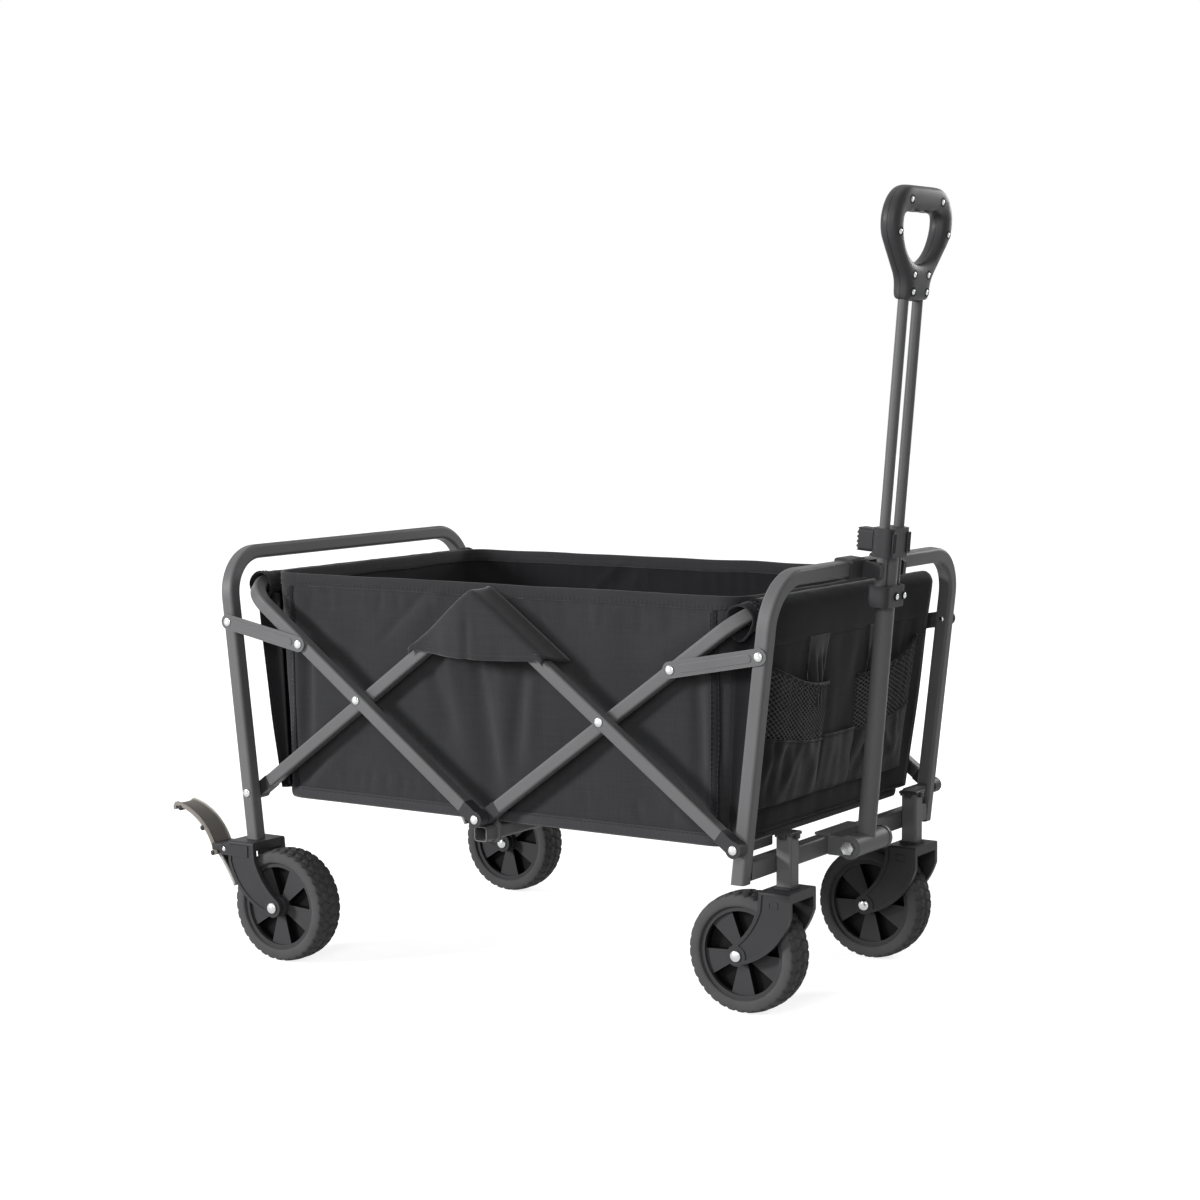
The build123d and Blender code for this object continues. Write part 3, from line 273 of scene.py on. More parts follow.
def woven(name, colour, level=False, thread=0.0011, sheen=0.25):
    """Plain woven polyester: crossing threads, uneven yarns and a slight sheen."""
    cloth = Shader(name)
    across = cloth.axis("X") if level else cloth.math("ADD", cloth.axis("X"), cloth.axis("Y"))
    along = cloth.axis("Y") if level else cloth.axis("Z")
    turn = 2 * math.pi / thread
    warp = cloth.math("SINE", cloth.math("MULTIPLY", across, turn))
    weft = cloth.math("SINE", cloth.math("MULTIPLY", along, turn))
    weave = cloth.math("MULTIPLY", warp, weft)
    tall = cloth.noise(1.0, 3.0, cloth.stretched((900.0, 900.0, 18.0)))
    wide = cloth.noise(1.0, 3.0, cloth.stretched((18.0, 18.0, 900.0)))
    yarn = cloth.math("MULTIPLY", cloth.math("ADD", tall, wide), 0.5)
    worn = cloth.noise(7.0, 4.0)
    tone = cloth.tints(yarn, colour, 0.55, 1.5)
    tone = cloth.mix(cloth.ramp(worn, 0.45, 0.75, 0.0, 0.35), tone, shade(colour, 1.45))
    tone = cloth.mix(cloth.ramp(weave, -1.0, 1.0, 0.0, 0.4), tone, shade(colour, 0.5))
    cloth.set(Base_Color=tone, Roughness=0.82, Specular_IOR_Level=0.06)
    cloth.set(Sheen_Weight=sheen, Sheen_Roughness=0.45)
    height = cloth.math("ADD", weave, cloth.math("MULTIPLY", yarn, 1.6))
    creases = cloth.bump(cloth.noise(24.0, 4.0), 0.0012, 0.35)
    cloth.set(Normal=cloth.bump(height, 0.00010, 0.55, Normal=creases))
    return cloth.material


def thread_cotton(name, colour):
    """Twisted sewing thread."""
    cotton = Shader(name)
    twist = cotton.noise(2600.0, 2.0)
    cotton.set(Base_Color=cotton.tints(twist, colour, 0.7, 1.3), Roughness=0.75)
    cotton.set(Normal=cotton.bump(twist, 0.00008, 0.6))
    return cotton.material


MOULD_BLACK = (0.034, 0.034, 0.036)
GRIP_BLACK = (0.042, 0.042, 0.044)
GRIP_GLOSS = 0.42
RIM_BLACK = (0.044, 0.044, 0.046)
RIM_FACE = 0.013  # metres from a wheel's middle plane to the face of its spokes
frame_paint = powder_coat("frame_paint", (0.115, 0.115, 0.118))
zinc = zinc_plate("zinc")
black_plastic = moulded("black_plastic", MOULD_BLACK)
fork_plastic = moulded("fork_plastic", MOULD_BLACK)
grip_plastic = moulded("grip_plastic", GRIP_BLACK, GRIP_GLOSS)
pedal_plastic = moulded("pedal_plastic", (0.20, 0.185, 0.165), 0.48)
# pale plastic that paints the highlights along the pedal's far rim and the tongue's edges
pedal_painted_highlight = moulded("pedal_painted_highlight", (0.42, 0.41, 0.39), 0.40)
tyre_rubber = rubber("tyre_rubber", (0.070, 0.070, 0.071))
fabric = woven("fabric", (0.031, 0.031, 0.033))
fabric_trim = woven("fabric_trim", (0.016, 0.016, 0.018), thread=0.0009)
lining = woven("lining", (0.014, 0.014, 0.0155), thread=0.0014, sheen=0.1)
fabric_level = woven("fabric_level", (0.018, 0.018, 0.0195), level=True)
binding_cloth = woven("binding_cloth", (0.045, 0.045, 0.048), thread=0.0016)
fabric_dark = woven("fabric_dark", (0.013, 0.013, 0.0145), sheen=0.15)
# near-black painted shade for small recesses: screw wells, lock windows and rivet seats
painted_shade_black = moulded("painted_shade_black", (0.004, 0.004, 0.004), 0.7)
net_cord = woven("net_cord", (0.12, 0.12, 0.125), thread=0.0007)
sewing_thread = thread_cotton("sewing_thread", (0.013, 0.013, 0.014))

NODE_MATERIALS = {
    frame_paint: [f"{end}_{part}" for end in ENDS for part in ("u_frame", "low_arms", "end_frame", "links")]
    + ["base_tube", "base_plates", "front_crossbar", "caster_posts", "handle_bracket", "handle_stem", "handle_rods"],
    zinc: [f"{end}_{part}_rivets" for end in ENDS for part in ("arm", "leg", "link")]
    + ["base_pins", "rear_axles", "caster_pins_right", "caster_pins_left", "handle_bolt"],
    black_plastic: [f"{end}_{part}_fittings" for end in ENDS for part in ("u", "low")]
    + ["leg_pegs", "post_caps", "caster_bushings", "handle_clip", "lock_block", "lock_button", "handle_collar"],
    fork_plastic: [f"{kind}_fork_{side_name}" for kind in ("rear", "caster") for side_name in SIDES],
    pedal_plastic: [f"brake_pedal_{side_name}" for side_name in SIDES],
    grip_plastic: ["grip_front_shell", "grip_rear_shell"],
    tyre_rubber: [f"{end}_tyre_{side_name}" for end in ENDS for side_name in SIDES],
    fabric: ["fabric_tub", "floor_mat", "side_flaps", "rear_panel", "front_panel", "front_pockets", "pocket_nets"],
}
def dress(node, material):
    """Give a CAD node its one material."""
    nodes[node].data.materials.clear()
    nodes[node].data.materials.append(material)


for material, names in NODE_MATERIALS.items():
    for name in names:
        dress(name, material)
for end in ENDS:
    for side_name in SIDES:
        rim = f"{end}_rim_{side_name}"
        low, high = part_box(rim)
        dress(rim, rim_plastic(f"{rim}_plastic", RIM_BLACK, (low.y + high.y) / 2, RIM_FACE))


# Mesh helpers

def add_piece(name, points, faces, material, body, slot):
    """A smooth mesh piece, given in millimetres, that rides a body."""
    mesh = bpy.data.meshes.new(name)
    mesh.from_pydata([Vector(point) * MM for point in points], [], faces)
    mesh.materials.append(material)
    mesh.shade_smooth()
    piece = placed(name, mesh)
    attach(piece, body)
    return piece


def grid_faces(columns, rows, closed=False):
    """Quads of a grid whose points run row by row inside each column."""
    faces = []
    for column in range(columns if closed else columns - 1):
        here = column * rows
        beside = (column + 1) % columns * rows
        for row in range(rows - 1):
            faces.append((here + row, beside + row, beside + row + 1, here + row + 1))
    return faces


def settle(piece):
    """Apply a piece's modifiers to its own mesh."""
    shape = bpy.data.meshes.new_from_object(piece.evaluated_get(bpy.context.evaluated_depsgraph_get()))
    piece.modifiers.clear()
    piece.data = shape
    return piece


def add_sheet(name, columns, material, body, thick, closed=False, inside=None):
    """Cloth from columns of points, with its thickness laid on the inner side."""
    points = [point for column in columns for point in column]
    piece = add_piece(name, points, grid_faces(len(columns), len(columns[0]), closed), material, body, "fabric")
    bulk = piece.modifiers.new("thickness", "SOLIDIFY")
    bulk.thickness = thick * MM
    bulk.offset = -1.0
    if inside:
        piece.data.materials.append(inside)
        bulk.material_offset = 1
    return settle(piece)


def joined(parts):
    """One mesh from several sets of points and faces."""
    points = []
    faces = []
    for more, sides in parts:
        faces.extend(tuple(index + len(points) for index in face) for face in sides)
        points.extend(more)
    return points, faces


def lofted(rings, closed=False):
    """Points and faces of a solid through rings of points; a closed one runs back into its first ring."""
    sides = len(rings[0])
    faces = []
    for index in range(len(rings) if closed else len(rings) - 1):
        here = index * sides
        beside = (index + 1) % len(rings) * sides
        for step in range(sides):
            turn = (step + 1) % sides
            faces.append((here + step, here + turn, beside + turn, beside + step))
    if not closed:
        faces.append(tuple(range(sides - 1, -1, -1)))
        faces.append(tuple((len(rings) - 1) * sides + step for step in range(sides)))
    return [point for ring in rings for point in ring], faces


def circle(centre, first, second, radius, sides):
    """Ring of points round a centre, in the plane of two directions."""
    angles = [2 * math.pi * step / sides for step in range(sides)]
    return [centre + (first * math.cos(angle) + second * math.sin(angle)) * radius for angle in angles]


def tube_points(path, radius, sides, closed=False):
    """Points and faces of a round tube along a path, with its ends closed."""
    count = len(path)
    rings = []
    normal = None
    for index, place in enumerate(path):
        before = path[index - 1] if index or closed else place
        after = path[(index + 1) % count] if index < count - 1 or closed else place
        along = (Vector(after) - Vector(before)).normalized()
        if normal is None:
            normal = along.orthogonal().normalized()
        normal = (normal - along * normal.dot(along)).normalized()
        rings.append(circle(Vector(place), normal, along.cross(normal), radius, sides))
    return lofted(rings, closed)


def add_tube(name, path, radius, material, body, slot="fabric", sides=10, closed=False):
    return add_piece(name, *tube_points(path, radius, sides, closed), material, body, slot)


def turned(profile, centre, axis, sides=20):
    """Points and faces of a profile of (distance along the axis, radius) turned about it."""
    along = Vector(axis)
    first = along.orthogonal().normalized()
    second = along.cross(first)
    return lofted([circle(Vector(centre) + along * distance, first, second, max(radius, 0.01), sides)
                   for distance, radius in profile])


DOME_STEPS = 6


def dome(base, height, radius):
    """Profile of a domed head that starts at a distance along the axis."""
    head = [(base, radius * 0.97), (base + 0.25 * height, radius)]
    for step in range(1, DOME_STEPS):
        angle = step / DOME_STEPS * math.pi / 2
        head.append((base + height * (0.25 + 0.75 * math.sin(angle)), radius * math.cos(angle)))
    return head + [(base + height * 0.985, radius * 0.10), (base + height * 0.93, 0.0)]


STITCH = 4.2
STITCH_GAP = 1.6
STITCH_R = 0.42


def spot_along(spots, runs, distance):
    """Point at a distance along a path, and the index of the path point before it."""
    index = min(bisect_right(runs, distance) - 1, len(spots) - 2)
    share = (distance - runs[index]) / max(runs[index + 1] - runs[index], 1e-6)
    return spots[index].lerp(spots[index + 1], share), index


def add_stitches(name, paths, body):
    """Rows of sewn stitches: short threads that dip into the cloth at both ends.

    Each path is a list of (point, outward normal) pairs."""
    parts = []
    for path in paths:
        spots = [Vector(spot) for spot, _ in path]
        runs = [0.0]
        for start, end in zip(spots, spots[1:]):
            runs.append(runs[-1] + (end - start).length)
        distance = 0.0
        while distance + STITCH <= runs[-1]:
            first, index = spot_along(spots, runs, distance)
            last, _ = spot_along(spots, runs, distance + STITCH)
            top = Vector(path[index][1]).normalized() * STITCH_R
            sewn = [first - top, first.lerp(last, 0.25) + top, first.lerp(last, 0.75) + top, last - top]
            parts.append(tube_points(sewn, STITCH_R, 5))
            distance += STITCH + STITCH_GAP
    return add_piece(name, *joined(parts), sewing_thread, body, "fabric")


def crumple(piece):
    """Give a cloth piece its own copy of its mesh."""
    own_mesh(piece)


# Basket

tub_low, tub_high = mm_box("fabric_tub")
TUB_FLOOR_X = 326.0
TUB_FLOOR_Y = 211.0
TUB_CORNER = 30.0
CLOTH = 1.6
HEM_CLOTH = 0.7
BINDING_CLOTH = 1.6
MAT_CLOTH = 1.8
TRIM_CLOTH = 0.8
WALL_STEP = 4.6
CORNER_STEPS = 8
FOLD_OUT = 3.6  # room between the cloth and the inner arms
FOLD_IN = -10.0


class Fold:
    """A soft fold in a wall, between two points (x, z), that opens out towards its end."""

    def __init__(self, start, end, width, height):
        self.start = Vector(start)
        self.run = Vector(end) - self.start
        self.width = width
        self.height = height
        reach = 3 * width + 0.2 * self.run.length
        self.low = (min(start[0], end[0]) - reach, min(start[1], end[1]) - reach)
        self.high = (max(start[0], end[0]) + reach, max(start[1], end[1]) + reach)

    def at(self, x, z):
        if not (self.low[0] < x < self.high[0] and self.low[1] < z < self.high[1]):
            return 0.0
        place = Vector((x, z)) - self.start
        length = self.run.length
        along = place.dot(self.run) / length ** 2
        if not -0.2 < along < 1.2:
            return 0.0
        across = (place.x * self.run.y - place.y * self.run.x) / length
        wide = self.width * (0.7 + 0.6 * max(0.0, along))
        fade = smooth_step(along, -0.2, 0.12) * (1 - smooth_step(along, 0.75, 1.2))
        return self.height * fade * math.exp(-(across / wide) ** 2)


def wall_folds(seed):
    """The folds of one long side: broad ones below the flap, pulls from the corners and puckers at the seams."""
    chance = random.Random(seed)
    folds = [
        Fold((-26, 396), (2, 228), 13, -5.6), Fold((12, 392), (20, 232), 15, 3.4),
        Fold((42, 380), (28, 255), 10, -4.2), Fold((60, 372), (52, 280), 9, 2.6),
        Fold((-62, 392), (-34, 268), 13, 3.2), Fold((-92, 374), (-62, 300), 12, -3.4),
        Fold((-85, 478), (-165, 408), 3.6, -2.6), Fold((-66, 474), (-142, 402), 13, 2.4),
        Fold((30, 476), (98, 412), 3.4, -2.4), Fold((150, 470), (172, 388), 22, 2.6),
    ]
    for way in (-1, 1):
        folds.append(Fold((way * 298, 402), (way * 301, 262), 7, 3.4))
        folds.append(Fold((way * 281, 392), (way * 286, 256), 8, -4.4))
        folds.append(Fold((way * 314, 398), (way * 310, 290), 5, -3.4))
        for step in range(3):
            start = (way * (326 - 4 * step), 462 - 18 * step)
            end = (way * (222 - 30 * step), 404 - 46 * step + chance.uniform(-12, 12))
            folds.append(Fold(start, end, chance.uniform(13, 21), (-1) ** step * chance.uniform(2.4, 3.8)))
        for step in range(3):
            start = (way * (322 - 22 * step), 212)
            end = (way * (270 - 50 * step), 292 + 22 * step)
            folds.append(Fold(start, end, chance.uniform(9, 15), (-1) ** step * chance.uniform(1.8, 3.2)))
    for step in range(30):
        place = -312 + 21.5 * step + chance.uniform(-8, 8)
        folds.append(Fold((place, 468), (place + chance.uniform(-6, 6), 436), 4.5, chance.uniform(-1.7, 0.8)))
        folds.append(Fold((place, 214), (place + chance.uniform(-8, 8), 242), 4.5, chance.uniform(-1.8, 1.0)))
    return folds


side_folds = {-1: wall_folds(11), 1: wall_folds(23)}


def tub_half(z):
    """Half length and half width of the basket at a height."""
    t = (z - tub_low.z) / (tub_high.z - tub_low.z)
    return TUB_FLOOR_X + (tub_high.x - TUB_FLOOR_X) * t, TUB_FLOOR_Y + (tub_high.y - TUB_FLOOR_Y) * t


def tub_columns():
    """Places round the basket: the side that they lie on, and how far along it."""
    columns = []
    long_steps = round(2 * tub_high.x / WALL_STEP)
    short_steps = round(2 * tub_high.y / WALL_STEP)
    for side, steps in enumerate((long_steps, short_steps, long_steps, short_steps)):
        columns.extend((side, along, 0.0) for along in shares(steps)[:-1])
        columns.extend((side, 1.0, bend) for bend in shares(CORNER_STEPS)[:-1])
    return columns


def tub_rim(column, z):
    """Point on the smooth wall and its outward normal, for a place round the basket."""
    side, along, bend = column
    half_x, half_y = tub_half(z)
    turn = Matrix.Rotation(side * math.pi / 2, 2)
    length, depth = (half_x, half_y) if side % 2 == 0 else (half_y, half_x)
    angle = bend * math.pi / 2
    normal = Vector((math.sin(angle), -math.cos(angle)))
    place = Vector(((2 * along - 1) * (length - TUB_CORNER), TUB_CORNER - depth)) + normal * TUB_CORNER
    return turn @ place, turn @ normal


def wall_point(column, z, lift=0.0):
    """Point on the folded wall, lifted off it by a distance."""
    place, normal = tub_rim(column, z)
    ease = smooth_step(abs(normal.y), 0.55, 1.0)
    side = -1 if normal.y < 0 else 1
    wave = 1.5 * ripple(place.x / 60, place.y / 60 + 9 * side, z / 85)
    if ease:
        wave += ease * sum(fold.at(place.x, z) for fold in side_folds[side])
    held = smooth_step(z, tub_low.z + 4, tub_low.z + 30) * (1 - smooth_step(z, tub_high.z - 22, tub_high.z - 4))
    wave = min(FOLD_OUT, max(FOLD_IN, wave * (0.25 + 0.75 * held)))
    place = place + normal * (wave + lift)
    return Vector((place.x, place.y, z)), Vector((normal.x, normal.y, 0.0))


def rim_height(column):
    """Height of the basket's top edge, which dips a little between its corners."""
    place, _ = tub_rim(column, tub_high.z)
    return tub_high.z + 1.4 * ripple(place.x / 75, place.y / 75, 3.0) + 0.6


wall_columns = tub_columns()
WALL_ROWS = round((tub_high.z - tub_low.z) / WALL_STEP)


def wall_heights(column):
    """Heights up a column, from the floor to the basket's top edge."""
    rise = rim_height(column) - tub_low.z
    return [tub_low.z + rise * share for share in shares(WALL_ROWS)]


tub_walls = add_sheet(
    "tub_walls", [[wall_point(column, z)[0] for z in wall_heights(column)] for column in wall_columns],
    fabric, "basket", CLOTH, closed=True, inside=lining,
)
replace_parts(tub_walls, "fabric_tub")

# Hem rolled over the basket's top edge, and the stiff tape round its bottom edge
HEM = 15.0
HEM_LIFT = 1.1
BINDING_LOW = -4.5
BINDING_HIGH = 10.0
BINDING_BULGE = [1.2, 2.4, 2.7, 2.7, 2.4, 1.0]


def hem_profile(column):
    """Profile of the hem: up the outside of the wall, over its edge and down the inside."""
    top = rim_height(column)
    outside = [wall_point(column, top - HEM + HEM * share, HEM_LIFT)[0] for share in shares(4)]
    over = wall_point(column, top + 0.8 * HEM_LIFT, HEM_LIFT - 0.5 * (CLOTH + HEM_LIFT))[0]
    inside = [wall_point(column, top - HEM * share, -CLOTH - HEM_LIFT)[0] for share in shares(3)]
    return outside + [over] + inside


def binding_profile(column):
    """Profile of the tape along the bottom edge, with a groove above it."""
    foot = tub_low.z + BINDING_LOW
    step = (BINDING_HIGH - BINDING_LOW) / (len(BINDING_BULGE) - 1)
    return [wall_point(column, foot + step * row, lift)[0] for row, lift in enumerate(BINDING_BULGE)]


def round_path(height, lift):
    """Closed run of (point, normal) pairs round the basket, for stitches."""
    path = []
    for column in wall_columns + wall_columns[:1]:
        rise = rim_height(column) - tub_high.z if height > (tub_low.z + tub_high.z) / 2 else 0.0
        path.append(wall_point(column, height + rise, lift))
    return path


hem = add_sheet("tub_hem", [hem_profile(column) for column in wall_columns], fabric, "basket", HEM_CLOTH, closed=True)
binding = add_sheet(
    "tub_binding", [binding_profile(column) for column in wall_columns],
    binding_cloth, "basket", BINDING_CLOTH, closed=True,
)
tub_stitches = add_stitches(
    "tub_stitches",
    [round_path(tub_high.z - HEM + 2.2, HEM_LIFT + 0.1), round_path(tub_low.z + BINDING_HIGH - 2.0, 2.5),
     round_path(tub_high.z - HEM + 5.4, HEM_LIFT + 0.1)],
    "basket",
)

# Seams down the four corners
SEAM_HALF = 5.0
SEAM_LIFT = 0.9
SEAM_ROWS = 44
SEAM_PROFILE = [(-SEAM_HALF, -0.3), (-SEAM_HALF + 0.8, SEAM_LIFT), (SEAM_HALF - 0.8, SEAM_LIFT), (SEAM_HALF, -0.3)]
SEAM_STITCHES = (-SEAM_HALF + 1.2, SEAM_HALF - 1.2)


def seam_line(x, side, lift, foot, short):
    """Run of (point, normal) pairs up a long wall, from foot above its floor and by short less than its height."""
    line = []
    for share in shares(SEAM_ROWS):
        z = tub_low.z + foot + (tub_high.z - tub_low.z - short) * share
        half_x, _ = tub_half(z)
        along = (x + half_x - TUB_CORNER) / (2 * (half_x - TUB_CORNER))
        line.append(wall_point((0, along, 0.0) if side < 0 else (2, 1 - along, 0.0), z, lift))
    return line


seams = []
seam_paths = []
for side in SIDES.values():
    for way in ENDS.values():
        edge = way * (tub_high.x - TUB_CORNER - 2)
        for offset in SEAM_STITCHES:
            seam_paths.append(seam_line(edge + offset, side, SEAM_LIFT + 0.1, foot=12, short=28))
        tape = [seam_line(edge + offset, side, lift, foot=8, short=22) for offset, lift in SEAM_PROFILE]
        faces = grid_faces(len(tape), SEAM_ROWS + 1)
        if side > 0:
            faces = [face[::-1] for face in faces]
        seams.append(([point for line in tape for point, _ in line], faces))
corner_seams = add_piece("corner_seams", *joined(seams), fabric_trim, "basket", "fabric")
corner_stitches = add_stitches("corner_stitches", seam_paths, "basket")

# Cloth floor, and the padded board that lies on it
mat_low, mat_high = mm_box("floor_mat")
FLOOR_STEPS = 40
FLOOR_Z = tub_low.z + CLOTH + 0.4
MAT_BOARDS = 4


def floor_sheet(half_x, half_y, corner, height):
    """Columns of a level rounded rectangle; height gives the rise at a share along x and y."""
    places = [math.sin(share * math.pi / 2) for share in spread(FLOOR_STEPS)]
    made = []
    for along in places:
        into = max(0.0, abs(half_x * along) - half_x + corner)
        reach = half_y - corner + math.sqrt(max(0.0, corner ** 2 - into ** 2))
        made.append([Vector((half_x * along, reach * across, height(along, across))) for across in places])
    return made


def mat_rise(along, across):
    """Padded top of the floor board: four boards that swell between the sewn lines."""
    board = (along * 0.5 + 0.5) * MAT_BOARDS % 1.0
    line = min(1.0, 14 * min(board, 1 - board))
    edge = smooth_step(1 - abs(across), 0.0, 0.06) * smooth_step(1 - abs(along), 0.0, 0.04)
    uneven = 0.5 * ripple(along * 7, across * 5, 1.0)
    return mat_low.z + 2.2 + (3.4 + uneven) * math.sqrt(max(0.0, line)) * edge


tub_floor = add_sheet(
    "tub_floor", floor_sheet(TUB_FLOOR_X - 1, TUB_FLOOR_Y - 1, TUB_CORNER, lambda along, across: FLOOR_Z),
    fabric_level, "basket", CLOTH,
)
mat = add_sheet(
    "mat_pad", floor_sheet(mat_high.x, mat_high.y, TUB_CORNER - 5, mat_rise), fabric_level, "basket", MAT_CLOTH,
)
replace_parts(mat, "floor_mat")

# Flaps over the top middle pivots: cloth that leaves the wall, lies over the arms and hangs in front of them
FLAP_HALF = 103.0
FLAP_TOP = 476.3
FLAP_FOOT = 402.0
FLAP_SLOPE = math.tan(math.radians(36.3))
FLAP_SAG = 5.0
FLAP_PEAK_R = 3.0
FLAP_OUT = {"rear": 240.0, "front": 256.4}
FLAP_EDGE_R = 6.0
FLAP_SPREAD = 11.0
FLAP_CLOTH = 1.4
FLAP_COLUMNS = 72
FLAP_ROOF_ROWS = 6
FLAP_EDGE_ROWS = 5
FLAP_FRONT_ROWS = 16
FLAP_HEM = [(6.5, 0.2), (6.0, 0.9), (0.2, 1.0), (-0.9, 0.2)]  # height above the foot, and lift


def flap_ridge(x):
    """Height of the cloth over the arms, which cross at the middle."""
    return FLAP_TOP - (math.hypot(x, FLAP_PEAK_R) - FLAP_PEAK_R) * FLAP_SLOPE


def flap_foot(x):
    """Height of the hanging front's curved lower edge."""
    return min(FLAP_FOOT - FLAP_SAG * (1 - (x / FLAP_HALF) ** 2), flap_ridge(x) - 7)


def flap_out(x):
    """Distance of the hanging front from the middle: the front arms lie outside the rear ones."""
    return FLAP_OUT["rear"] + (FLAP_OUT["front"] - FLAP_OUT["rear"]) * smooth_step(x, -84, -11)


def flap_front(x, z, side, lift=0.0):
    """Point on the hanging front, with soft folds that start below the arms."""
    drop = (flap_ridge(x) - z) / (FLAP_TOP - FLAP_FOOT)
    fold = -2.6 * math.exp(-((x + 6) / 6) ** 2) - 2.0 * math.exp(-((x - 44) / 13) ** 2)
    fold += 1.8 * ripple(x / 24, z / 55, 5.0 * side)
    out = flap_out(x) + min(0.8, fold) * smooth_step(drop, 0.1, 0.6) + lift
    return Vector((x, side * out, z))


def flap_column(x, side):
    """Cloth at one place along a flap: the roof over the arms, a rounded edge and the hanging front."""
    ridge = flap_ridge(x)
    wall_y = tub_high.y + 1.2
    edge_y = flap_out(x) - FLAP_EDGE_R
    line = []
    for share in shares(FLAP_ROOF_ROWS)[:-1]:
        wide = x + FLAP_SPREAD * (1 - share) * x * abs(x) / FLAP_HALF ** 2
        rise = flap_ridge(wide) + 1.5 * (1 - share) - 1.2 * math.sin(math.pi * share)
        line.append(Vector((wide, side * (wall_y + (edge_y - wall_y) * share), rise)))
    for share in shares(FLAP_EDGE_ROWS)[:-1]:
        angle = share * math.pi / 2
        y = edge_y + FLAP_EDGE_R * math.sin(angle)
        line.append(Vector((x, side * y, ridge - FLAP_EDGE_R * (1 - math.cos(angle)))))
    for share in shares(FLAP_FRONT_ROWS):
        z = ridge - FLAP_EDGE_R + (flap_foot(x) - ridge + FLAP_EDGE_R) * share
        line.append(flap_front(x, z, side))
    return line


def flap_seams(spots, side):
    """Stitch rows of a flap: along its foot, and under both slopes of its edge."""
    out = (0, side, 0)
    foot = [(flap_front(x, flap_foot(x) + 4.4, side, 1.1), out) for x in spots[3:-3]]
    slopes = [[(flap_front(x, flap_ridge(x) - FLAP_EDGE_R - 1.5, side, 0.1), out) for x in spots if start < x < stop]
              for start, stop in ((-FLAP_HALF + 8, -6), (6, FLAP_HALF - 8))]
    return [foot] + slopes


flap_pieces = {}
for side_name, side in SIDES.items():
    spots = [FLAP_HALF * share for share in spread(FLAP_COLUMNS)]
    if side > 0:
        spots.reverse()
    flap = add_sheet(f"flap_{side_name}", [flap_column(x, side) for x in spots], fabric, "basket", FLAP_CLOTH)
    hem_columns = [[flap_front(x, flap_foot(x) + rise, side, lift) for rise, lift in FLAP_HEM] for x in spots]
    flap_hem = add_sheet(f"flap_hem_{side_name}", hem_columns, fabric, "basket", TRIM_CLOTH)
    sewn = add_stitches(f"flap_stitches_{side_name}", flap_seams(spots, side), "basket")
    flap_pieces[side_name] = (flap, flap_hem, sewn)
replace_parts(flap_pieces["right"][0], "side_flaps")

for piece in (tub_walls, hem, binding, tub_stitches, corner_seams, corner_stitches, tub_floor, mat):
    crumple(piece)
for group in flap_pieces.values():
    for piece in group:
        crumple(piece)

# End panels: cloth that wraps each cross bar and hangs outside the basket
SLEEVE_R = 12.0
PANEL_FOOT = 329.4
PANEL_EDGE = 208.0
PANEL_COLUMNS = 64
PANEL_ROWS = 42
PANEL_CLOTH = 1.4
PANEL_PIPING = 1.7
CAP_CLOTH = 1.2
CAP_PIPING = 1.3
GUSSET_CLOTH = 1.0
EDGE_SEAM = (5.0, 448.0)  # distance in from a panel's side edge, and height of its first stitch
EDGE_STEPS = 40
SLEEVE_STEPS = 10
GUSSET_ROWS = 30
GUSSET_STEPS = 8
BAND_LOW = 425.0
BAND_LIFT = 0.9
ARM_ANGLE = math.radians(36.3)
BAR_BEND = 42.0
BAR_HALF = {"rear": 244.0, "front": 226.5}
CAP_START = 186.0
CAP_END = 218.0
CAP_SECTIONS = 14
CAP_SIDES = 28
PANEL_SPOTS = [PANEL_EDGE * share for share in spread(PANEL_COLUMNS)]


